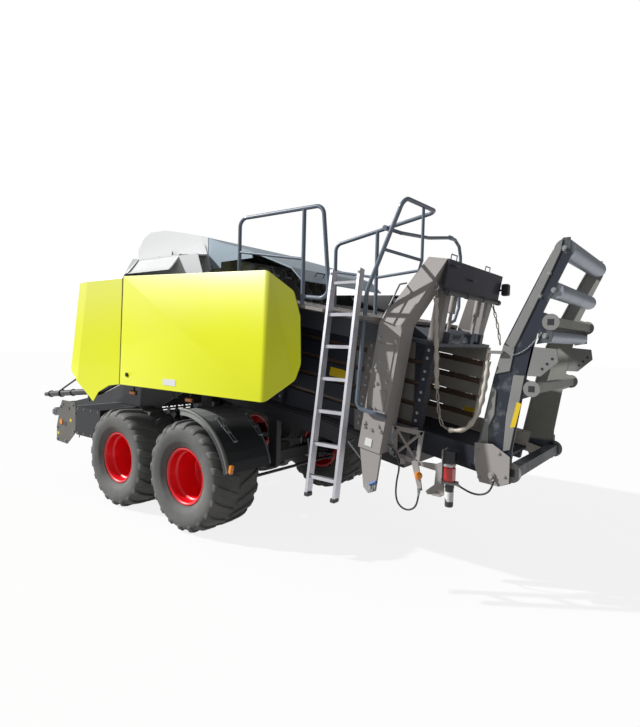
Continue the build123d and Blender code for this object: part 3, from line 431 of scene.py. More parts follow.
dress(dark_grey, "drawbar", "shaft_holder", "jack_tube")
worn_steel = worn_zinc("worn_steel", (0.42, 0.42, 0.42), 0.3)
dress(worn_steel, "hitch_eye", "jack_leg")
EYE_FACE_X, JACK_X, JACK_Y = 5.25, 4.0, -0.3
eye_bolts = bmesh.new()
for y in (-0.065, 0.065):
    for z in (0.625, 0.755):
        bolt(eye_bolts, place(EYE_FACE_X, y, z), (1, 0, 0), 0.014, 0.018)
for z in (0.5, 0.62, 0.74):
    bolt(eye_bolts, place(JACK_X + 0.046, JACK_Y, z), (1, 0, 0), 0.008)
crank = ((0, 1.14), (0, 1.2), (0.12, 1.2), (0.12, 1.3))
bent_rod(eye_bolts, [place(JACK_X + dx, JACK_Y, z) for dx, z in crank], 0.009)
piece("eye_bolts_and_crank", eye_bolts, "baler", zinc, smooth=False)

# Drive line
# A cast flywheel in front of the gearbox, and two shafts inside guards of black plastic.
# The guards have ribbed cones at their ends and at their middle.
plastic = enamel("black_plastic", (0.022, 0.022, 0.024), (0.04, 0.04, 0.042), 0.45)
cast_grey = steelwork("cast_grey", (0.07, 0.07, 0.072), (0.12, 0.115, 0.11), 0.5)
dress(cast_grey, "flywheel")
dress(plastic, "pto_shaft", "cardan_shaft")
SHAFT_START, SHAFT_TIP = place(4.3, 0, 1.08), place(6.3, 0, 0.86)
CONE_RIBS, RIB_PITCH, RIB_T, CONE_R, CONE_TAPER = 4, 0.016, 0.009, 0.068, 0.003
shaft_line = (SHAFT_TIP - SHAFT_START).normalized()
cones = bmesh.new()
for at in (0.12, 0.9, 1.78):
    for rib in range(CONE_RIBS):
        spot = SHAFT_START + shaft_line * (at + rib * RIB_PITCH)
        barrel(cones, spot, spot + shaft_line * RIB_T, CONE_R - rib * CONE_TAPER, sides=32)
piece("shaft_guard_cones", cones, "pto", plastic)


# Mudguards
# Guards of black plastic over the steered wheels, paler towards the top, with a rolled outer edge.
# Zinc stays are clipped on, and an amber reflector sits at the rear end.
def fender_top():
    """Black plastic, paler towards its top."""
    f = Finish("mudguard_paler_top")
    z = f.axes()[2]
    broad = f.noise(3.0, 5)
    tone = f.mix((z + broad * 0.1).between(1.15, 1.32), (0.03, 0.033, 0.036, 1), (0.3, 0.31, 0.3, 1))
    return f.surface(base_color=tone, roughness=broad * 0.3 + 0.4)


dress(fender_top(), "mudguard_left", "mudguard_right")
edge_grey = enamel("mudguard_edge", (0.13, 0.135, 0.13), (0.18, 0.18, 0.17), 0.4)
amber = enamel("amber_lens", (0.9, 0.28, 0.008), (0.75, 0.2, 0.006), 0.12, 0.15)
GUARD_R, GUARD_OUT_Y, GUARD_IN_Y = 0.71, 1.438, 0.845
GUARD_FROM, GUARD_TO, GUARD_STEP = 86, 168, 3
STAYS = (((-0.334, 1.276, 1.235), (-0.586, 1.253, 1.016)), ((-0.316, 0.86, 1.244), (-0.572, 0.88, 1.036)))
STAY_OFF, STAY_SPREAD, STAY_R = 0.012, 0.02, 0.006
REFLECTOR_Y, REFLECTOR_TURN = 1.43, Matrix.Rotation(radians(-14), 4, "Y")
for side, hand in ((1, "left"), (-1, "right")):
    roll = bmesh.new()
    outer = [place(GUARD_R * cos(radians(a)), side * GUARD_OUT_Y, HUB_Z + GUARD_R * sin(radians(a)))
             for a in range(GUARD_FROM, GUARD_TO + 1, GUARD_STEP)]
    inner = [p + Vector((0, side * (GUARD_IN_Y - GUARD_OUT_Y), 0)) for p in outer]
    bent_rod(roll, outer, 0.02, 12)
    bent_rod(roll, inner, 0.011, 8)
    piece(f"mudguard_rolled_edge_{hand}", roll, f"steering_{hand}", edge_grey)
    stays = bmesh.new()
    for ends in STAYS:
        foot, head = (place(x, side * y, z) for x, y, z in ends)
        along = (head - foot).normalized()
        out = Vector((along.z, 0, -along.x))
        out = out if out.z > 0 else -out
        for spread in (-STAY_SPREAD, STAY_SPREAD):
            shift = out * STAY_OFF + Vector((0, side * spread, 0))
            bent_rod(stays, (foot + shift, head + shift), STAY_R, 8)
        for share in (0.02, 0.35, 0.62, 0.98):
            spot = foot.lerp(head, share) + out * STAY_OFF
            bolt(stays, spot, out, 0.012, 0.016)
            barrel(stays, spot - Vector((0, 0.03, 0)), spot + Vector((0, 0.03, 0)), 0.008, sides=10)
    piece(f"mudguard_stays_{hand}", stays, f"steering_{hand}", zinc, smooth=False)
    lens = bmesh.new()
    block(lens, place(-0.742, side * REFLECTOR_Y - 0.022, 0.75),
          place(-0.7, side * REFLECTOR_Y + 0.018, 0.835), 0.006, REFLECTOR_TURN)
    piece(f"mudguard_reflector_{hand}", lens, f"steering_{hand}", amber)


# Bale chamber
# Closed plates in front and heavy steel slats behind, under a ribbed roof, bolted to posts.
# The front plates are dark paint; painted shade darkens the inside and the slats behind the towers, painted
# light brightens the far inside wall, and folded lips line the gaps between the slats.
def chamber_paint_shade_and_light():
    """Grey rear slats and dark front plates, with painted shade inside and behind the towers and painted
    light on the far inside wall.
    """
    f = Finish("chamber_paint_shade_and_light")
    x, y = f.axes()[:2]
    outside = f.node("ShaderNodeMath", {"operation": "ABSOLUTE"}, (y,)).between(0.632, 0.638)
    behind = (x * -1.0).between(1.6 - axle_x, 1.62 - axle_x)
    # near_tower keeps the grey to the slats in front of the towers; behind them the dark colour is a
    # painted shadow of the tower.
    near_tower = behind * (x + (2.25 - axle_x)).between(-0.01, 0.01)
    # far_wall and lit make a painted patch of sunlight on the far inside wall.
    far_wall = (y * -1.0).between(0.58, 0.59) * behind
    broad, fine = f.noise(1.6, 6), f.noise(30, 5)
    # navy is the dark paint of the front plates, and painted shade inside the chamber and behind the
    # towers.
    navy = f.mix(fine.between(0.6, 0.75) * 0.4, (0.009, 0.011, 0.022, 1), (0.05, 0.052, 0.065, 1))
    grey = f.mix(broad.between(0.35, 0.75) * 0.6, (0.22, 0.205, 0.195, 1), (0.14, 0.135, 0.13, 1))
    lit = f.mix(broad.between(0.4, 0.7) * 0.5, (0.6, 0.56, 0.5, 1), (0.26, 0.23, 0.2, 1))
    inside = f.mix(far_wall, navy, lit)
    return f.surface(base_color=f.mix(outside * near_tower, inside, grey), roughness=fine * 0.3 + 0.5,
                     normal=f.bump(fine, 0.001, 0.25))


dress(chamber_paint_shade_and_light(), "bale_chamber")
roof_blue = steelwork("roof_blue", (0.07, 0.08, 0.1), (0.13, 0.14, 0.15))
dress(roof_blue, "chamber_roof")
SLOPE = radians(9.5)
CHAMBER_X, CHAMBER_Z = -2.9, 1.05


def in_chamber(u, y, w):
    """A place measured along the sloping chamber: u from its rear end, w up from its floor."""
    return place(CHAMBER_X + u * cos(SLOPE) - w * sin(SLOPE), y,
                 CHAMBER_Z + u * sin(SLOPE) + w * cos(SLOPE))


def chamber_line(points, y):
    """Places for (u, w) points of the sloping chamber, all at one distance from its middle."""
    return [in_chamber(u, y, w) for u, w in points]


def sheet_cut(mesh, outline, depth, across, edge=0.0):
    """A plate cut to an outline and pushed through its thickness along across."""
    face = mesh.faces.new([mesh.verts.new(point) for point in outline])
    pushed = bmesh.ops.extrude_face_region(mesh, geom=[face])["geom"]
    moved = [v for v in pushed if isinstance(v, bmesh.types.BMVert)]
    bmesh.ops.translate(mesh, verts=moved, vec=Vector(across).normalized() * depth)
    bmesh.ops.recalc_face_normals(mesh, faces=mesh.faces[:])
    if edge:
        ring = {e for v in moved for e in v.link_edges} | set(face.edges)
        soften(mesh, list(ring), edge)


RAILS, RAIL_PITCH, RAIL_H = 5, 0.1884, 0.1464
RAIL_FACE_Y, FRONT_PLATE_Y = 0.7, 0.614
slat_bolts = bmesh.new()
for side in (1, -1):
    for row in range(RAILS):
        w = RAIL_PITCH * row + RAIL_H / 2
        for u in (0.64, 1.22, 2.26):
            for dw in (-0.035, 0.035):
                bolt(slat_bolts, in_chamber(u, side * RAIL_FACE_Y, w + dw), (0, side, 0), 0.009, 0.008)
    for u in (2.59, 3.19, 3.79):
        for k in range(5):
            spot = in_chamber(u, side * FRONT_PLATE_Y, 0.1 + 0.18 * k)
            bolt(slat_bolts, spot, (0, side, 0), 0.008, 0.007)
piece("slat_bolts", slat_bolts, "baler", zinc, smooth=False)
LIP_FROM, LIP_TO, LIP_Y = 0.61, 2.29, 0.604
slat_lips = bmesh.new()
for side in (1, -1):
    for row in range(RAILS - 1):
        low, high = (RAIL_PITCH * row + RAIL_H + step for step in (-0.02, 0.036))
        strip = ((LIP_FROM, low), (LIP_TO, low), (LIP_TO, high), (LIP_FROM, high))
        sheet_cut(slat_lips, chamber_line(strip, side * LIP_Y), 0.01, (0, -side, 0), 0.002)
rubbed_rust = enamel("rubbed_rust", (0.2, 0.12, 0.085), (0.1, 0.07, 0.05), 0.5, 0.7)
piece("slat_lips", slat_lips, "baler", rubbed_rust, smooth=False)
label_yellow = enamel("label_yellow", (0.85, 0.6, 0.01), (0.7, 0.48, 0.01), 0.4)
tilt = Matrix.Rotation(-SLOPE, 4, "Y")
labels = bmesh.new()
block(labels, place(-1.53, 0.641, 1.70), place(-1.3, 0.645, 1.79), 0.001, tilt)
block(labels, place(-2.34, -0.5985, 1.31), place(-2.22, -0.5945, 1.385), 0.001, tilt)
piece("chamber_labels", labels, "baler", label_yellow)
PIPE_ROUTE = ((1.1, -0.05), (1.6, -0.03), (2.4, -0.06), (3.6, -0.045))
hydraulics = bmesh.new()
for side in (1, -1):
    for k in range(3):
        lowered = [(u, w - 0.02 * k) for u, w in PIPE_ROUTE]
        bent_rod(hydraulics, chamber_line(lowered, side * (0.66 + 0.018 * k)), 0.007, 8)
piece("brake_and_oil_pipes", hydraulics, "baler", dark_grey)


# Density ring
# A welded portal round the chamber that squeezes its walls on the bale: two towers and a crown.
# Grey enamel; bolted plates close the towers, which carry grab handles and oil fittings.
frame_grey = steelwork("frame_grey", (0.37, 0.345, 0.335), (0.43, 0.405, 0.39), 0.38)
dress(frame_grey, "density_ring")
TOWER_FACE_Y = 0.95
TOWER_BOLTS = ((-2.076, 1.898), (-2.031, 1.844), (-2.158, 1.821), (-1.987, 1.807), (-2.145, 1.721),
               (-2.044, 1.704), (-2.034, 1.487), (-1.954, 1.451), (-2.093, 1.428), (-1.936, 1.344),
               (-2.075, 1.327), (-2.005, 1.288))
tower_bolts, tower_plates, grabs, oil_fittings = bmesh.new(), bmesh.new(), bmesh.new(), bmesh.new()
for side in (1, -1):
    for x, z in TOWER_BOLTS:
        bolt(tower_bolts, place(x, side * TOWER_FACE_Y, z), (0, side, 0), 0.0125, 0.012)
    for w in (0.1, 0.9):
        for u in (0.83, 1.0):
            bolt(tower_bolts, in_chamber(u, side * TOWER_FACE_Y, w), (0, side, 0), 0.014, 0.014)
    bolt(tower_bolts, in_chamber(0.851, side * 0.936, -0.426), (0, side, 0), 0.03, 0.02)
    for low, high in ((0.28, 0.46), (0.6, 0.86)):
        corners = chamber_line(((0.835, low), (0.995, low), (0.995, high), (0.835, high)), side * 0.951)
        sheet_cut(tower_plates, corners, 0.006, (0, side, 0), 0.002)
    upper = ((-2.09, 0.93, 2.24), (-2.12, 1.0, 2.27), (-2.2, 0.87, 2.57), (-2.21, 0.77, 2.59))
    lower = ((-1.66, 0.7, 1.13), (-1.66, 0.8, 1.117), (-1.896, 0.8, 0.9), (-1.896, 0.8, 0.84))
    bent_rod(grabs, [place(x, side * y, z) for x, y, z in upper], 0.007)
    bent_rod(grabs, [place(x, side * y, z) for x, y, z in lower], 0.011)
    barrel(oil_fittings, place(-1.995, side * 0.93, 0.79), place(-2.06, side * 0.93, 0.83),
           0.017, 0.014, sides=12)
for y in (0.42, -0.42):
    handle = ((-0.06, -0.003), (-0.06, 0.06), (0.06, 0.06), (0.06, -0.003))
    bent_rod(grabs, [in_chamber(0.7, y + dy, 1.66 + h) for dy, h in handle], 0.006)
piece("tower_bolts", tower_bolts, "baler", worn_steel, smooth=False)
piece("tower_plates", tower_plates, "baler", frame_grey, smooth=False)
piece("grab_handles", grabs, "baler", zinc)
fitting_blue = enamel("fitting_blue", (0.03, 0.12, 0.4), (0.02, 0.08, 0.25), 0.3)
piece("oil_fittings", oil_fittings, "baler", fitting_blue)
label_white = enamel("label_white", (0.82, 0.83, 0.82), (0.7, 0.7, 0.7), 0.4)
blank_plates = bmesh.new()
half = Vector((0.035, 0, 0.035))
block(blank_plates, in_chamber(0.93, 0.9505, -0.03) - half,
      in_chamber(0.93, 0.9545, -0.03) + half, 0.001, tilt)
for y in (0.36, -0.1):
    block(blank_plates, in_chamber(0.7, y, 0.931) - Vector((0.05, 0.03, 0)),
          in_chamber(0.7, y, 0.934) + Vector((0.05, 0.03, 0.003)), 0.001, tilt)
piece("blank_service_plates", blank_plates, "baler", label_white)

# Ring cover
# A sheet-steel tray in front of the crown's cylinders, navy and blank, with two grab handles.
# It hangs on a hinge tube along its lower edge, above the open rods.
navy = enamel("cover_navy", (0.006, 0.007, 0.026), (0.022, 0.02, 0.04), 0.5, 0.5)
shadow_grey = steelwork("shadow_grey", (0.05, 0.05, 0.052), (0.09, 0.088, 0.086))
dress(navy, "ring_cover")
CROWN_REAR, CROWN_LOW, CROWN_HIGH = 0.618, 1.385, 1.66
TUBE_U, TUBE_W = CROWN_REAR - 0.018, CROWN_LOW - 0.004
cover_fittings = bmesh.new()
barrel(cover_fittings, in_chamber(TUBE_U, -0.66, TUBE_W), in_chamber(TUBE_U, 0.66, TUBE_W), 0.022)
for y in (-0.62, -0.2, 0.2, 0.62):
    barrel(cover_fittings, in_chamber(TUBE_U, y - 0.03, TUBE_W),
           in_chamber(TUBE_U, y + 0.03, TUBE_W), 0.028)
for y, w in ((0.56, CROWN_HIGH - 0.05), (0.14, CROWN_HIGH - 0.13)):
    handle = ((0.0, -0.055), (-0.035, -0.055), (-0.035, 0.055), (0.0, 0.055))
    bent_rod(cover_fittings, [in_chamber(CROWN_REAR + out, y + dy, w) for out, dy in handle], 0.006)
piece("cover_hinge_and_handles", cover_fittings, "baler", shadow_grey)
ROD_U, ROD_TOP = 0.68, CROWN_LOW + 0.1
cylinders = bmesh.new()
for y in (-0.48, -0.3, 0.3, 0.48):
    barrel(cylinders, in_chamber(ROD_U, y, 0.94), in_chamber(ROD_U, y, ROD_TOP), 0.016)
    barrel(cylinders, in_chamber(ROD_U, y, 1.2), in_chamber(ROD_U, y, ROD_TOP), 0.033)
    barrel(cylinders, in_chamber(ROD_U, y - 0.04, 0.945), in_chamber(ROD_U, y + 0.04, 0.945), 0.022)
piece("density_cylinders", cylinders, "baler", frame_grey)


# Platform and knotters
# A steel deck over the chamber, with grip studs pressed into it.
# A row of knotter frames, twine fingers and arms stands on its front edge.
deck_grey = steelwork("deck_grey", (0.24, 0.22, 0.21), (0.3, 0.28, 0.27))
dress(deck_grey, "platform")
knotter_grey = steelwork("knotter_grey", (0.34, 0.34, 0.33), (0.45, 0.45, 0.44))
dress(knotter_grey, "knotter_stack")
STUD_ROWS, STUD_COLUMNS, DECK_TOP = 7, 16, 1.07
STUD_U, ROW_PITCH, STUD_Y, COLUMN_PITCH = 1.15, 0.2, -0.72, 0.112
studs = bmesh.new()
for row in range(STUD_ROWS):
    for column in range(STUD_COLUMNS):
        u, y = STUD_U + row * ROW_PITCH, STUD_Y + column * COLUMN_PITCH
        barrel(studs, in_chamber(u, y, DECK_TOP), in_chamber(u, y, DECK_TOP + 0.005), 0.014, 0.009, sides=8)
piece("deck_grip_studs", studs, "baler", deck_grey, smooth=False)
KNOTTERS, FIRST_KNOTTER_Y, KNOTTER_PITCH = 6, -0.5, 0.2
knot_low, knot_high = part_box("knotter_stack")
middle, top = (knot_low.x + knot_high.x) / 2 - axle_x, knot_high.z
arm = ((-0.05, 0, -0.3), (-0.16, 0.02, -0.12), (-0.1, 0.03, -0.02), (0.05, 0.03, -0.01))
twine_arms = bmesh.new()
for k in range(KNOTTERS):
    y = FIRST_KNOTTER_Y + KNOTTER_PITCH * k
    bent_rod(twine_arms, [place(middle + dx, y + dy, top + dz) for dx, dy, dz in arm], 0.008, 8)
    eye = (middle - 0.16, top - 0.12)
    barrel(twine_arms, place(eye[0], y - 0.02, eye[1]), place(eye[0], y + 0.06, eye[1]), 0.024, sides=16)
piece("twine_arms", twine_arms, "baler", worn_steel)

# Railings and ladder
# Bent steel tubes in blue-grey paint, with their feet bolted down.
# The ladder is aluminium, with ribbed treads and plastic end caps.
rail_paint = enamel("rail_paint", (0.13, 0.165, 0.22), (0.24, 0.27, 0.31), 0.28)
dress(rail_paint, "railing_front", "railing_rear")
HOOP = ((-1.76, 0.39, 3.19), (-1.82, 0.2, 3.17), (-1.88, -0.3, 3.2), (-1.95, -0.68, 3.26),
        (-1.95, -0.82, 3.26), (-1.955, -0.93, 3.2), (-1.96, -0.97, 3.08), (-1.96, -0.97, 2.5),
        (-1.93, -0.93, 2.34), (-1.9, -0.76, 2.28))
right_rail = bmesh.new()
bent_rod(right_rail, [place(*spot) for spot in HOOP], 0.019, 16)
for spot in (HOOP[0], (-1.95, -0.7, 3.262)):
    barrel(right_rail, place(*spot) - Vector((0, 0.035, 0)), place(*spot) + Vector((0, 0.035, 0)), 0.025)
piece("railing_right_hoop", right_rail, "baler", rail_paint)
aluminium = worn_zinc("aluminium", (0.6, 0.6, 0.65), 0.28)
dress(aluminium, "ladder")
LADDER_FOOT, LADDER_TOP = Vector((0, 1.42, 0.75)), Vector((0, 1.16, 2.5))
LADDER_RIGHT_X, LADDER_LEFT_X, TOP_RUNG_Z = -1.68, -1.97, 2.573
ladder_line = (LADDER_TOP - LADDER_FOOT).normalized()
ladder_lean = Matrix.Rotation(ladder_line.angle((0, 0, 1)), 4, "X")
ladder_top = bmesh.new()
for x in (LADDER_RIGHT_X, LADDER_LEFT_X):
    foot = place(x, LADDER_TOP.y, LADDER_TOP.z) - ladder_line * 0.01
    size = Matrix.Diagonal((0.026, 0.07, 0.2, 1))
    spot = Matrix.Translation(foot + ladder_line * 0.1) @ ladder_lean @ size
    bmesh.ops.create_cube(ladder_top, size=1, matrix=spot)
    bolt(ladder_top, foot + ladder_line * 0.17 + Vector((0, 0.035, 0)), (0, 1, 0), 0.009, 0.01)
climbed = (TOP_RUNG_Z - LADDER_FOOT.z) / (LADDER_TOP.z - LADDER_FOOT.z)
rung_y = LADDER_FOOT.y + (LADDER_TOP.y - LADDER_FOOT.y) * climbed
block(ladder_top, place(LADDER_LEFT_X, rung_y - 0.02, TOP_RUNG_Z - 0.014),
      place(LADDER_RIGHT_X, rung_y + 0.02, TOP_RUNG_Z + 0.014), 0.004)
piece("ladder_top", ladder_top, "baler", aluminium, smooth=False)
ladder_low, ladder_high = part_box("ladder")
caps = bmesh.new()
for x in (ladder_low.x + 0.02, ladder_high.x - 0.02):
    block(caps, Vector((x - 0.024, ladder_high.y - 0.06, ladder_low.z - 0.006)),
          Vector((x + 0.024, ladder_high.y + 0.006, ladder_low.z + 0.03)), 0.006)
piece("ladder_end_caps", caps, "baler", plastic)


# Side panels
# Moulded lime sheets with soft corners and an end turned in, hung on top hinges and locked by a knob.
# A rubber strip closes the joint, a blank plate sits on the sheet, and marker lamps hang below it.
def lime(name, sheet):
    """Lime outside and black inside, with a painted sheen that pales the lime towards the top; the front
    sheet is white along its top.
    """
    f = Finish(name)
    x, y, z = f.axes()
    away = f.node("ShaderNodeMath", {"operation": "ABSOLUTE"}, (y,))
    broad, fine = f.noise(0.9, 3), f.noise(300, 2)
    tone = f.mix(broad.between(0.0, 1.0) * 0.3, (0.92, 0.96, 0.0, 1), (0.78, 0.86, 0.0, 1))
    # sheen is a painted highlight: the lime turns pale yellow towards the top of the sheets.
    sheen = (z + broad * 0.6).between(2.2, 3.5) * 0.5
    tone = f.mix(sheen, tone, (0.97, 0.97, 0.45, 1))
    inner = (0.02, 0.021, 0.02, 1)
    if sheet == "side":
        past_bend = x * -1.0 + (axle_x + BEND_X)
        turned = f.node("ShaderNodeMath", {"operation": "MAXIMUM"}, (past_bend, 0.0)) * 0.6034
        depth = away + (z - PANEL_FOOT) * 0.02967 + turned
        tone = f.mix(depth.between(1.388, 1.389), inner, tone)
    else:
        outer = (away + (z - 1.15) * 0.0248).between(1.391, 1.393) + x.between(axle_x + 2.09, axle_x + 2.1)
        tone = f.mix(outer.between(0.0, 0.9), inner, tone)
        tone = f.mix(z.between(2.757, 2.759), tone, (0.86, 0.88, 0.87, 1))
    return f.surface(base_color=tone, roughness=0.36, coat_weight=0.12, normal=f.bump(fine, 0.0002, 0.12))


def rounded(outline, radii, steps=6):
    """An outline with each corner turned to an arc, as wide as its sides allow."""
    points = []
    corners = [Vector(p) for p in outline]
    for i, (corner, radius) in enumerate(zip(corners, radii)):
        before, after = corners[i - 1] - corner, corners[(i + 1) % len(corners)] - corner
        half = before.angle(after) / 2
        cut = min(radius * cos(half) / sin(half), before.length * 0.45, after.length * 0.45)
        start, end = corner + before.normalized() * cut, corner + after.normalized() * cut
        for k in range(steps + 1):
            t = k / steps
            points.append(start * (1 - t) ** 2 + corner * (2 * t * (1 - t)) + end * t ** 2)
    return points


PANEL_Y, PANEL_T, PANEL_FOOT, LEAN = 1.395, 0.012, 1.48, radians(1.7)
SIDE_OUTLINE = ((1.302, 1.48), (1.302, 2.785), (-1.08, 2.705), (-1.3, 2.52), (-1.36, 2.29), (-1.38, 1.85),
                (-1.34, 1.7), (-1.1, 1.48))
SIDE_RADII = (0.012, 0.012, 0.1, 0.09, 0.2, 0.2, 0.1, 0.1)
BEND_X, BEND_END_X, BEND_IN = -1.08, -1.37, 0.175


def leaning(x, y, z):
    """A place on the panel after it leans in at its top."""
    dy, dz = y - PANEL_Y, z - PANEL_FOOT
    return place(x, PANEL_Y + dy * cos(LEAN) - dz * sin(LEAN),
                 PANEL_FOOT + dy * sin(LEAN) + dz * cos(LEAN))


def on_panel(outline, side, out=0.0):
    """Places for an outline of (x, z) points on either panel, out from its outer face."""
    spots = [leaning(x, PANEL_Y + out, z) for x, z in outline]
    return [Vector((spot.x, side * spot.y, spot.z)) for spot in spots]


def side_panel(side):
    """A rear side sheet with rounded corners, its rear end bent in."""
    mesh = bmesh.new()
    flat = [(p.x, p.y) for p in rounded(SIDE_OUTLINE, SIDE_RADII)]
    mesh.faces.new([mesh.verts.new((x, 0, z)) for x, z in flat])
    for k in range(-4, 5):
        bmesh.ops.bisect_plane(mesh, geom=mesh.verts[:] + mesh.edges[:] + mesh.faces[:], dist=0.00001,
                               plane_co=(BEND_X + 0.008 * k, 0, 0), plane_no=(1, 0, 0))
    soft = 0.032
    for v in mesh.verts:
        t = BEND_X - v.co.x
        run = 0 if t < -soft else t if t > soft else (t + soft) ** 2 / (4 * soft)
        v.co = leaning(v.co.x, PANEL_Y - run * BEND_IN / (BEND_X - BEND_END_X), v.co.z)
    pushed = bmesh.ops.extrude_face_region(mesh, geom=mesh.faces[:])["geom"]
    inner = [v for v in pushed if isinstance(v, bmesh.types.BMVert)]
    bmesh.ops.translate(mesh, verts=inner, vec=(0, -PANEL_T, 0))
    bmesh.ops.recalc_face_normals(mesh, faces=mesh.faces[:])
    soften(mesh, [e for e in mesh.edges if e.calc_face_angle(0) > 1.2], 0.003, 2)
    if side < 0:
        bmesh.ops.scale(mesh, vec=(1, -1, 1), verts=mesh.verts[:])
        bmesh.ops.recalc_face_normals(mesh, faces=mesh.faces[:])
    return mesh


SEAL = ((1.301, 1.49), (1.312, 1.49), (1.312, 2.775), (1.301, 2.775))
BLANK_PLATE = ((0.21, 1.535), (0.44, 1.535), (0.44, 1.605), (0.21, 1.605))
LOCK_AT = (1.151, 1.607)
lime_sheet = lime("lime_side_sheet", "side")
dress(lime("lime_front_sheet", "front"), "front_panel_left", "front_panel_right")
seal_rubber = enamel("seal_rubber", (0.012, 0.012, 0.012), (0.03, 0.03, 0.03), 0.5)
for side, hand in ((1, "left"), (-1, "right")):
    sheet = piece(f"side_sheet_{hand}", side_panel(side), f"panel_rear_{hand}", lime_sheet)
    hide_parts(f"side_panel_{hand}")
    seal = bmesh.new()
    sheet_cut(seal, on_panel(SEAL, side), 0.008, (0, -side, 0))
    piece(f"panel_seal_{hand}", seal, f"panel_rear_{hand}", seal_rubber, smooth=False)
    knob = bmesh.new()
    spot = on_panel((LOCK_AT,), side)[0]
    barrel(knob, spot, spot + Vector((0, side * 0.012, 0)), 0.026)
    barrel(knob, spot + Vector((0, side * 0.012, 0)), spot + Vector((0, side * 0.02, 0)), 0.02, 0.013)
    piece(f"panel_lock_{hand}", knob, f"panel_rear_{hand}", plastic)
    plate = bmesh.new()
    sheet_cut(plate, on_panel(BLANK_PLATE, side, 0.0015), 0.0015, (0, side, 0))
    piece(f"panel_blank_plate_{hand}", plate, f"panel_rear_{hand}", label_white, smooth=False)
MARKER_Y, HOLDER_Y, HOOK_X = 1.262, 1.24, 0.412
marker_lamps, lamp_feet = bmesh.new(), bmesh.new()
for side in (1, -1):
    for x, z in ((1.239, 1.375), (0.153, 1.383)):
        block(marker_lamps, place(x - 0.055, side * MARKER_Y - 0.014, z - 0.022),
              place(x + 0.055, side * MARKER_Y + 0.014, z + 0.022), 0.008)
        block(lamp_feet, place(x - 0.06, side * HOLDER_Y - 0.009, z - 0.027),
              place(x + 0.06, side * HOLDER_Y + 0.009, z + 0.027), 0.003)
        bent_rod(lamp_feet, (place(x, side * HOLDER_Y, z), place(x, side * 1.23, 1.5),
                             place(x, side * 1.22, 1.62)), 0.012)
    hook = ((-0.05, 1.63), (-0.05, 1.39), (0.05, 1.39), (0.05, 1.63))
    bent_rod(lamp_feet, [place(HOOK_X + dx, side * 1.25, z) for dx, z in hook], 0.008)
piece("marker_lamps", marker_lamps, "baler", amber)
piece("marker_lamp_holders", lamp_feet, "baler", dark_grey)


# Hood
# White moulded roof with a hump over the knotters, bolted down; skirts close it to the side sheets.
# The flap behind it lifts by a handle, and its cheeks are grey-blue.
def upright(outline, y):
    """Places for an outline of (x, z) points in an upright plane along the machine."""
    return [place(x, y, z) for x, z in outline]


hood_white = enamel("hood_white", (0.8, 0.81, 0.81), (0.72, 0.74, 0.76), 0.25, 0.2)
dress(hood_white, "hood", "front_hood")
flap_blue = enamel("flap_blue", (0.42, 0.52, 0.6), (0.34, 0.42, 0.5), 0.28, 0.3)
dress(flap_blue, "knotter_hood")
REAR_SKIRT = ((1.302, 2.8), (1.302, 2.985), (0.12, 2.985), (0.03, 2.765))
HUMP_SKIRT = ((0.494, 3.168), (0.372, 2.86), (1.25, 2.86), (1.25, 3.04), (0.56, 3.2))
SEAM_SKIRT = ((1.322, 1.336, 2.806), (1.322, 1.222, 3.008), (1.24, 1.186, 3.004), (1.24, 1.332, 2.824))
CHEEK = ((0.43, 3.2), (0.36, 2.88), (0.215, 2.88), (0.21, 3.02), (0.0, 3.03), (-0.02, 3.09))
FIN = ((1.06, 3.05), (1.13, 3.055), (1.105, 3.15))
skirts, cheeks, fins, roof_bolts = bmesh.new(), bmesh.new(), bmesh.new(), bmesh.new()
for side in (1, -1):
    sheet_cut(skirts, upright(REAR_SKIRT, side * 1.19), 0.006, (0, side, 0), 0.002)
    sheet_cut(skirts, [place(x, side * y, z) for x, y, z in SEAM_SKIRT], 0.006, (0, side, 0.5), 0.001)
    sheet_cut(skirts, upright(HUMP_SKIRT, side * 0.782), 0.006, (0, side, 0), 0.002)
    sheet_cut(cheeks, upright(CHEEK, side * 0.7755), 0.005, (0, side, 0), 0.001)
    sheet_cut(fins, upright(FIN, side * 0.8), 0.01, (0, side, 0), 0.002)
    for x in (0.55, 0.95, 1.7, 1.95):
        bolt(roof_bolts, place(x, side * 1.1, 3.0205), (0, side * 0.15, 1), 0.009, 0.007)
piece("hump_skirts", skirts, "baler", hood_white, smooth=False)
piece("flap_cheeks", cheeks, "knotter_cover", flap_blue, smooth=False)
piece("roof_fins", fins, "baler", shadow_grey, smooth=False)
piece("roof_bolts", roof_bolts, "baler", zinc, smooth=False)
handle = bmesh.new()
grip = ((-0.94, 0.33, 2.752), (-0.965, 0.33, 2.79), (-0.965, 0.47, 2.79), (-0.94, 0.47, 2.752))
bent_rod(handle, [place(*spot) for spot in grip], 0.006)
piece("flap_handle", handle, "knotter_cover", plastic)


# Pick-up
# A tined reel between deep side plates of folded steel, with a crop roller on two arms above it.
# The side plates are bolted up, and carry blank yellow labels and round reflectors.
def pickup_paint_and_shade():
    """Grey paint on the pick-up's front end, and near black painted shade behind it."""
    f = Finish("pickup_paint_and_shade")
    x = f.axes()[0]
    broad, fine = f.noise(1.8, 6), f.noise(40, 5)
    front = f.mix(broad.between(0.35, 0.7) * 0.5, (0.13, 0.125, 0.11, 1), (0.2, 0.19, 0.17, 1))
    # shade is painted shade, near black, for the plates behind the front end.
    shade = f.mix(fine.between(0.6, 0.75) * 0.3, (0.012, 0.013, 0.016, 1), (0.04, 0.04, 0.045, 1))
    return f.surface(base_color=f.mix(x.between(axle_x + 2.6, axle_x + 2.63), shade, front),
                     roughness=fine * 0.25 + 0.45, normal=f.bump(fine, 0.001, 0.2))


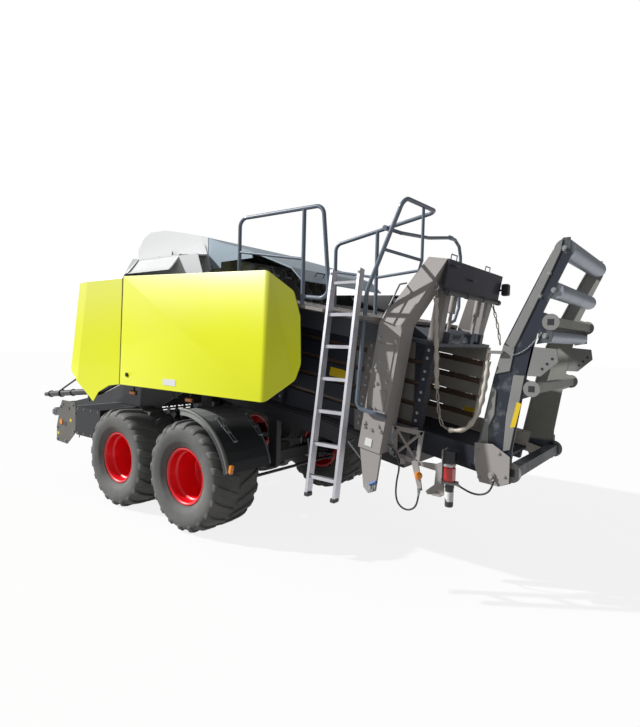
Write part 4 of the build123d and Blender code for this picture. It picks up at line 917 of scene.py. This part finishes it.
pickup_grey = steelwork("pickup_grey", (0.12, 0.115, 0.11), (0.2, 0.19, 0.18))
dress(pickup_paint_and_shade(), "pickup_frame")
dress(pickup_grey, "crop_guard")
dress(cast_grey, "pickup_reel")
roller_grey = worn_zinc("roller_grey", (0.34, 0.37, 0.42), 0.35)
dress(roller_grey, "crop_roller")
PICK_Y, LABEL_Y, REFLECTOR_AT = 1.27, 1.2715, (3.008, 0.819)
PLATE_BOLTS = ((3.03, 1.036), (2.97, 1.08), (2.68, 1.09), (2.62, 0.98), (2.66, 0.72), (2.88, 0.56),
               (3.12, 0.56), (3.12, 0.73))
pick_labels, reflectors, pick_bolts = bmesh.new(), bmesh.new(), bmesh.new()
for side in (1, -1):
    for x, z in ((3.1, 0.648), (2.743, 0.866)):
        block(pick_labels, place(x - 0.028, side * LABEL_Y - 0.001, z - 0.02),
              place(x + 0.028, side * LABEL_Y + 0.001, z + 0.02))
    x, z = REFLECTOR_AT
    barrel(reflectors, place(x, side * PICK_Y, z), place(x, side * (PICK_Y + 0.012), z),
           0.04, 0.037, sides=40)
    for x, z in PLATE_BOLTS:
        bolt(pick_bolts, place(x, side * PICK_Y, z), (0, side, 0), 0.014, 0.014)
    for x in (2.02, 2.2, 2.38, 2.54):
        for z in (0.72, 1.05):
            bolt(pick_bolts, place(x, side * PICK_Y, z), (0, side, 0), 0.009, 0.008)
piece("pickup_labels", pick_labels, "pickup", label_yellow, smooth=False)
piece("pickup_reflectors", reflectors, "pickup", amber)
piece("pickup_bolts", pick_bolts, "pickup", zinc, smooth=False)

# Bale chute
# Two bent channels in pale paint, their outer webs darkened by painted shade, joined by square tubes, with
# zinc rollers.
# It turns on a pin at each foot and is folded up in transport; lugs and bosses are welded on.
chute_pale = steelwork("chute_pale", (0.24, 0.24, 0.235), (0.33, 0.32, 0.3), 0.32)


def chute_paint_and_shade():
    """Pale channels, with painted shade making the left outer web near black; the chute is near black below
    1.1 m too.
    """
    f = Finish("chute_paint_and_shade")
    y, z = f.axes()[1:]
    broad, fine = f.noise(2.2, 6), f.noise(40, 5)
    pale = f.mix(broad.between(0.35, 0.75) * 0.6, (0.24, 0.24, 0.225, 1), (0.33, 0.32, 0.28, 1))
    # dark is painted shade: on the left outer web it stands in for the shaded inside of the channel.
    dark = f.mix(broad.between(0.5, 0.56), (0.012, 0.016, 0.03, 1), (0.09, 0.1, 0.11, 1))
    web = y.between(0.6535, 0.6545) + (z * -1.0).between(-1.16, -1.1)
    return f.surface(base_color=f.mix(web.between(0.0, 0.9), pale, dark), roughness=fine * 0.25 + 0.38,
                     normal=f.bump(fine, 0.001, 0.2))


dress(chute_paint_and_shade(), "bale_chute")
dress(roller_grey, "chute_roller_1", "chute_roller_2", "chute_roller_3")
CHUTE_Y = 0.655
PIVOT_X, PIVOT_Z = -3.0, 1.01
CHUTE_SIDE = ((-2.85, 1.19), (-2.97, 1.8), (-3.04, 2.07), (-3.32, 2.67), (-3.38, 2.79))
STRIPS = (((-3.06, 2.08), (-3.3, 2.6), (-3.38, 2.78), (-3.45, 2.87), (-3.44, 2.78), (-3.375, 2.62),
           (-3.16, 2.12), (-3.12, 2.03)),
          ((-2.985, 1.83), (-3.045, 2.07), (-3.13, 2.04), (-3.1, 1.86)),
          ((-3.13, 1.83), (-3.215, 1.83), (-3.17, 1.52), (-3.125, 1.23), (-3.07, 1.21), (-3.085, 1.5)),
          ((-2.87, 1.22), (-2.96, 1.7), (-3.0, 1.7), (-2.99, 1.5), (-2.945, 1.4), (-2.95, 1.22)))
LUG = ((-3.215, 1.83), (-3.33, 1.83), (-3.455, 1.95), (-3.44, 2.045), (-3.255, 2.06))
# columns: x, z, size
BOSSES = ((-3.39, 2.25, 0.07), (-3.27, 1.73, 0.07), (-3.14, 1.05, 0.09))
CHUTE_BOLTS = ((-3.46, 2.8), (-3.4, 2.49), (-3.35, 2.145), (-2.9, 1.2), (-2.93, 1.45), (-2.97, 1.7),
               (-3.3, 2.45), (-3.36, 2.62))
chute_lips, chute_shadow, chute_bolts = bmesh.new(), bmesh.new(), bmesh.new()
for side in (1, -1):
    face = side * CHUTE_Y
    for (x1, z1), (x2, z2) in zip(CHUTE_SIDE, CHUTE_SIDE[1:]):
        along = Vector((x2 - x1, 0, z2 - z1)).normalized()
        inward = Vector((-along.z, 0, along.x)) * 0.008
        foot, head = place(x1, side * (CHUTE_Y - 0.012), z1), place(x2, side * (CHUTE_Y - 0.012), z2)
        sheet_cut(chute_lips, (foot, head, head + inward, foot + inward), 0.05, (0, -side, 0), 0.002)
    for strip in STRIPS:
        sheet_cut(chute_lips, upright(strip, side * (CHUTE_Y + 0.0005)), 0.009, (0, side, 0), 0.003)
    sheet_cut(chute_lips, upright(LUG, face), 0.01, (0, -side, 0), 0.002)
    # The dark discs and the squares in the bosses are painted shade, standing in for holes and sockets.
    for x, z in ((-3.34, 1.89), (-3.375, 1.93), (-3.41, 1.97)):
        barrel(chute_shadow, place(x, side * (CHUTE_Y - 0.011), z),
               place(x, side * (CHUTE_Y + 0.0012), z), 0.011)
    for x, z, size in BOSSES:
        half, socket = size * 0.34, side * (CHUTE_Y + 0.0083)
        barrel(chute_lips, place(x, face, z), place(x, side * (CHUTE_Y + 0.008), z), size * 0.9, sides=36)
        block(chute_shadow, place(x - half, socket - 0.0008, z - half),
              place(x + half, socket + 0.0008, z + half))
    for x, z in CHUTE_BOLTS:
        bolt(chute_bolts, place(x, face, z), (0, side, 0), 0.014, 0.012)
    pin = place(PIVOT_X, side * (CHUTE_Y + 0.014), PIVOT_Z)
    barrel(chute_bolts, place(PIVOT_X, face, PIVOT_Z), pin, 0.036, sides=32)
    bolt(chute_bolts, pin, (0, side, 0), 0.018, 0.014)
piece("chute_lips_and_lugs", chute_lips, "chute", chute_pale, smooth=False)
piece("chute_hollow_shade", chute_shadow, "chute", dark_grey, smooth=False)
piece("chute_bolts", chute_bolts, "chute", zinc, smooth=False)
chute_label = bmesh.new()
corners = upright(((-3.12, 1.41), (-3.16, 1.42), (-3.2, 1.61), (-3.165, 1.62)), CHUTE_Y + 0.0105)
sheet_cut(chute_label, corners, 0.001, (0, 1, 0))
piece("chute_label", chute_label, "chute", label_yellow, smooth=False)
chute_hook = bmesh.new()
block(chute_hook, place(-3.05, CHUTE_Y - 0.01, 1.995), place(-2.925, CHUTE_Y + 0.042, 2.02), 0.003)
piece("chain_hook_tab", chute_hook, "chute", chute_pale, smooth=False)

# Chute pivot plates
# Flame-cut steel plates on the chamber's rear end, one outside each foot of the chute.
# The pin passes through the boss in the plate, and four bolts hold the plate.
PIVOT_PLATE = ((0.15, 0.25), (0, 0.255), (-0.14, 0.17), (-0.14, -0.04), (-0.06, -0.08), (0.1, -0.07),
               (0.15, 0.08))
pivot_plates = bmesh.new()
for side in (1, -1):
    shape = upright([(PIVOT_X + x, PIVOT_Z + z) for x, z in PIVOT_PLATE], side * 0.69)
    sheet_cut(pivot_plates, shape, 0.012, (0, side, 0), 0.002)
    pin = place(PIVOT_X, side * 0.712, PIVOT_Z)
    barrel(pivot_plates, place(PIVOT_X, side * 0.67, PIVOT_Z), pin, 0.03, sides=32)
    bolt(pivot_plates, pin, (0, side, 0), 0.018, 0.016)
    for x, z in ((-2.88, 1.2), (-3.05, 1.2), (-3.1, 1.02), (-2.9, 0.98)):
        bolt(pivot_plates, place(x, side * 0.702, z), (0, side, 0), 0.011, 0.01)
piece("chute_pivot_plates", pivot_plates, "baler", frame_grey, smooth=False)


# Chains
# Chains of welded steel links: one at the chute's left, in a canvas sheath, one off the ring's right.
# They hang in eyes on the ring, and a light one ties a pin to the chute.
def route(points, count):
    """Evenly spaced places along a smooth line through given points."""
    line = [Vector(p) for p in points]
    for _ in range(3):
        line = [line[0]] + [a.lerp(b, t) for a, b in zip(line, line[1:]) for t in (0.25, 0.75)] + [line[-1]]
    lengths = [0.0]
    for a, b in zip(line, line[1:]):
        lengths.append(lengths[-1] + (b - a).length)
    spots, k = [], 0
    for i in range(count + 1):
        goal = lengths[-1] * i / count
        while k < len(line) - 2 and lengths[k + 1] < goal:
            k += 1
        share = (goal - lengths[k]) / max(lengths[k + 1] - lengths[k], 1e-9)
        spots.append(line[k].lerp(line[k + 1], share))
    return spots


def chain_link(mesh, start, end, across, wire, width):
    """One oval link: a round wire bent round two half circles and closed."""
    along = (end - start).normalized()
    sideways = (across - along * across.dot(along)).normalized()
    half, straight = width / 2 - wire, ((end - start).length + 2 * wire) / 2 - (width / 2)
    middle, ring, steps, sides = (start + end) / 2, [], 16, 6
    for k in range(steps):
        a = 2 * pi * k / steps
        shift = straight if cos(a) > 0 else -straight
        ring.append((middle + along * (cos(a) * half + shift) + sideways * sin(a) * half,
                     along * cos(a) + sideways * sin(a)))
    normal = along.cross(sideways)
    turns = [2 * pi * j / sides for j in range(sides)]
    loops = [[mesh.verts.new(at + out * wire * cos(t) + normal * wire * sin(t)) for t in turns]
             for at, out in ring]
    for one, two in zip(loops, loops[1:] + loops[:1]):
        for j in range(sides):
            mesh.faces.new((one[j], one[(j + 1) % sides], two[(j + 1) % sides], two[j]))


def chain(points, pitch, wire, width):
    """A row of links along a course, every second one turned on edge."""
    mesh = bmesh.new()
    length = sum((Vector(b) - Vector(a)).length for a, b in zip(points, points[1:]))
    spots = route(points, round(length / pitch))
    for i, (a, b) in enumerate(zip(spots, spots[1:])):
        along = (b - a).normalized()
        across = Vector((0, 1, 0)) if i % 2 else along.cross(Vector((0, 1, 0)))
        chain_link(mesh, a, b, across, wire, width)
    bmesh.ops.recalc_face_normals(mesh, faces=mesh.faces[:])
    return mesh


CHAIN_Y, CHAIN_PITCH, CHAIN_WIRE, CHAIN_W = 0.685, 0.056, 0.006, 0.034
chain_steel = worn_zinc("chain_steel", (0.36, 0.32, 0.28), 0.45)
LEFT_ROUTE = ((-2.452, 2.53), (-2.47, 2.1), (-2.49, 1.68), (-2.53, 1.38), (-2.59, 1.335), (-2.69, 1.335),
              (-2.79, 1.37), (-2.88, 1.53), (-2.92, 1.78), (-2.934, 2.0))
RIGHT_ROUTE = ((-2.452, 2.53), (-2.52, 2.3), (-2.56, 2.07))
PIN_ROUTE = ((-3.05, 1.99), (-3.13, 1.985), (-3.23, 2.04), (-3.33, 2.17))
for hand, course, y in (("left", LEFT_ROUTE, CHAIN_Y), ("right", RIGHT_ROUTE, -CHAIN_Y)):
    links = chain(upright(course, y), CHAIN_PITCH, CHAIN_WIRE, CHAIN_W)
    piece(f"chute_chain_{hand}", links, "baler", chain_steel)
links = chain(upright(PIN_ROUTE, CHUTE_Y + 0.008), 0.022, 0.0022, 0.012)
piece("pin_chain", links, "chute", zinc)
SHEATH_R, RUCK_H, RUCK_STEP = 0.0195, 0.004, 0.55
STRAIGHT_SHEATH = ((-2.456, 2.46), (-2.47, 2.1), (-2.49, 1.68))
BENT_SHEATH = ((-2.62, 1.331), (-2.7, 1.335), (-2.79, 1.37), (-2.88, 1.53), (-2.92, 1.78), (-2.932, 1.93))
sheath = bmesh.new()
for stretch, steps in ((STRAIGHT_SHEATH, 70), (BENT_SHEATH, 80)):
    line = route(upright(stretch, CHAIN_Y), steps)
    for i, (a, b) in enumerate(zip(line, line[1:])):
        near, far = (SHEATH_R + RUCK_H * cos(k * RUCK_STEP) for k in (i, i + 1))
        barrel(sheath, a, b + (b - a) * 0.2, near, far, sides=14)
canvas = enamel("chain_sheath", (0.62, 0.57, 0.5), (0.4, 0.36, 0.3), 0.75, 0.6)
piece("chain_sheath", sheath, "baler", canvas)
EYE_STEPS, EYE_R = 16, 0.024
eyes = bmesh.new()
for side in (1, -1):
    middle = place(-2.45, side * CHAIN_Y, 2.556)
    angles = [2 * pi * k / EYE_STEPS for k in range(EYE_STEPS + 1)]
    bent_rod(eyes, [middle + Vector((cos(a), 0, sin(a))) * EYE_R for a in angles], 0.007, 8)
    block(eyes, place(-2.462, side * CHAIN_Y - 0.007, 2.565),
          place(-2.428, side * CHAIN_Y + 0.007, 2.62), 0.002)
piece("chain_eyes", eyes, "baler", worn_steel)


# Lamp brackets
# Plates of folded steel behind the left wheel, on an arm off the chamber's outer post.
# They carry a window frame with crossed bars, the rear lamps and an oil canister.
LAMP_Y, CROSS_Y = 0.79, 0.794


def flat_plate(mesh, outline, y, thick):
    """An upright plate with its inner face at y."""
    sheet_cut(mesh, upright(outline, y), thick, (0, 1, 0), 0.0015)


WINDOW = ((-2.14, 1.33), (-2.44, 1.31), (-2.4, 1.01), (-2.14, 1.05))
WINDOW_MIDDLE = Vector((-2.28, 0, 1.175))
LOWER_ARM = ((-2.33, 1.045), (-2.4, 1.045), (-2.445, 0.8), (-2.405, 0.8))
LAMP_PLATE = ((-2.39, 1.045), (-2.56, 1.05), (-2.64, 1.09), (-2.64, 0.8), (-2.49, 0.775), (-2.47, 0.8),
              (-2.55, 0.87), (-2.56, 0.99), (-2.39, 1.01))
CROSS_BARS = (((-2.17, 1.3), (-2.37, 1.045)), ((-2.17, 1.08), (-2.405, 1.285)))
# columns: one corner and the opposite corner of each small block
BRACKET_BLOCKS = (((-2.33, 0.64, 1.292), (-2.27, 0.795, 1.318)),
                  ((-2.64, 0.79, 0.795), (-2.56, 0.865, 0.804)),
                  ((-2.64, 0.74, 0.895), (-2.632, 0.85, 1.19)),
                  ((-2.745, 0.745, 0.903), (-2.636, 0.835, 0.923)),
                  ((-2.265, 0.79, 1.0), (-2.235, 0.832, 1.058)),
                  ((-2.442, 0.81, 0.803), (-2.408, 0.834, 0.826)))
brackets, dark_plates, cables = bmesh.new(), bmesh.new(), bmesh.new()
for (x1, z1), (x2, z2) in zip(WINDOW, WINDOW[1:] + WINDOW[:1]):
    end_in = Vector((x2 - x1, 0, z2 - z1)) * 0.06
    in_way = (WINDOW_MIDDLE - Vector(((x1 + x2) / 2, 0, (z1 + z2) / 2))).normalized() * 0.042
    near, far = in_way + end_in, in_way - end_in
    bar = ((x1, z1), (x2, z2), (x2 + far.x, z2 + far.z), (x1 + near.x, z1 + near.z))
    flat_plate(brackets, bar, LAMP_Y, 0.01)
for ends in CROSS_BARS:
    bent_rod(brackets, upright(ends, CROSS_Y), 0.013, 4)
flat_plate(brackets, LOWER_ARM, LAMP_Y + 0.01, 0.012)
flat_plate(brackets, LAMP_PLATE, LAMP_Y, 0.01)
for low, high in BRACKET_BLOCKS:
    block(brackets, place(*low), place(*high), 0.002)
for k in range(4):
    bent_rod(cables, (place(-2.14, 0.79 + 0.01 * k, 1.33), place(-2.16 + 0.012 * k, 0.806, 1.22),
                      place(-2.12 + 0.008 * k, 0.8, 1.12), place(-2.15 + 0.01 * k, 0.8, 1.06)), 0.0045, 8)
for y in (0.758, 0.824):
    flat_plate(dark_plates, ((-2.638, 1.188), (-2.74, 1.18), (-2.74, 1.08), (-2.638, 1.078)), y, 0.008)
piece("lamp_cables", cables, "baler", zinc)
piece("lamp_brackets", brackets, "baler", frame_grey, smooth=False)
piece("lamp_guard_plates", dark_plates, "baler", dark_grey, smooth=False)

# Canister and lamps
# A black plastic oil canister with a blank white band hangs below the rear lamps.
# The lamps are moulded lenses in housings; a work lamp stands out from the ring's right shoulder.
CAN_X, CAN_Y = -2.688, 0.8
canister, band = bmesh.new(), bmesh.new()
# columns: low end, high end, low radius, high radius
for low, high, radius, top_radius in ((0.72, 0.905, 0.035, 0.035), (0.712, 0.722, 0.03, 0.035),
                                      (0.87, 0.885, 0.038, 0.038)):
    barrel(canister, place(CAN_X, CAN_Y, low), place(CAN_X, CAN_Y, high), radius, top_radius, sides=36)
barrel(band, place(CAN_X, CAN_Y, 0.76), place(CAN_X, CAN_Y, 0.84), 0.0356, sides=36)
piece("oil_canister", canister, "baler", plastic)
piece("canister_blank_band", band, "baler", label_white)
red_lens = enamel("red_lens", (0.62, 0.012, 0.01), (0.45, 0.01, 0.01), 0.1, 0.1)
ambers, reds, pales, work_lamp = bmesh.new(), bmesh.new(), bmesh.new(), bmesh.new()
for near, far, radius, top_radius in ((0.022, 0.04, 0.034, 0.034), (0.04, 0.047, 0.034, 0.02)):
    barrel(ambers, place(-2.412, LAMP_Y + near, 0.925), place(-2.412, LAMP_Y + far, 0.925),
           radius, top_radius, sides=36)
block(reds, place(-2.725, 0.76, 0.925), place(-2.642, 0.842, 1.045), 0.008)
block(pales, place(-2.725, 0.76, 1.047), place(-2.642, 0.842, 1.072), 0.006)
block(work_lamp, place(-2.62, -0.76, 2.59), place(-2.545, -0.68, 2.715), 0.012)
bent_rod(work_lamp, (place(-2.46, -0.72, 2.652), place(-2.56, -0.72, 2.652)), 0.011)
piece("round_rear_lamp", ambers, "baler", amber)
piece("rear_lamp_red", reds, "baler", red_lens)
piece("rear_lamp_pale", pales, "baler", label_white)
piece("work_lamp", work_lamp, "baler", plastic)

# Hoses
# Two stiff rubber hoses of 16 mm, each held by a zinc gland at both ends.
# One loops from the ring's left tower foot to the lamp arm, one from the chute's pin to the canister.
HOSE_R = 0.008
HOSE_LEFT = ((-2.125, 0.83, 1.135), (-2.19, 0.83, 1.11), (-2.235, 0.83, 0.98), (-2.205, 0.83, 0.845),
             (-2.2, 0.83, 0.71), (-2.235, 0.83, 0.632), (-2.315, 0.83, 0.603), (-2.392, 0.83, 0.64),
             (-2.42, 0.83, 0.72), (-2.425, 0.83, 0.79))
HOSE_RIGHT = ((-3.02, 0.7, 0.99), (-3.03, 0.75, 0.945), (-3.0, 0.775, 0.88), (-2.92, 0.775, 0.85),
              (-2.83, 0.775, 0.862), (-2.75, 0.785, 0.903))
hose_rubber = enamel("hose_rubber", (0.014, 0.014, 0.015), (0.04, 0.04, 0.04), 0.4)


def hose(name, points):
    """A stiff hose on one smooth line, with a gland at each end."""
    data = bpy.data.curves.new(name, "CURVE")
    data.dimensions, data.bevel_depth, data.bevel_resolution, data.resolution_u = "3D", 1.0, 5, 12
    line = data.splines.new("NURBS")
    line.points.add(len(points) - 1)
    for knot, point in zip(line.points, points):
        knot.co = (*place(*point), 1)
        knot.radius = HOSE_R
    line.order_u = 3
    line.use_endpoint_u = True
    made = bpy.data.objects.new(name, data)
    bpy.context.scene.collection.objects.link(made)
    data.materials.append(hose_rubber)
    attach(made, "baler")
    glands = bmesh.new()
    for end, near in ((points[0], points[1]), (points[-1], points[-2])):
        end, near = place(*end), place(*near)
        back = (end - near).normalized()
        barrel(glands, end - back * 0.03, end + back * 0.004, 0.0095, 0.013, sides=24)
        barrel(glands, end - back * 0.004, end + back * 0.022, 0.015, sides=6)
    fittings = piece(f"{name}_glands", glands, "baler", zinc)
    return made, fittings


def spline_length(made):
    """How long the hose's smooth line is."""
    depth = made.data.bevel_depth
    made.data.bevel_depth = 0
    line = bpy.data.meshes.new_from_object(made)
    made.data.bevel_depth = depth
    stretches = [[line.vertices[i].co for i in edge.vertices] for edge in line.edges]
    total = sum((a - b).length for a, b in stretches)
    bpy.data.meshes.remove(line)
    return total


for name, points in (("hose_left", HOSE_LEFT), ("hose_right", HOSE_RIGHT)):
    made, fittings = hose(name, points)
    place(*points[0])
    spline_length(made)

bpy.context.view_layer.update()
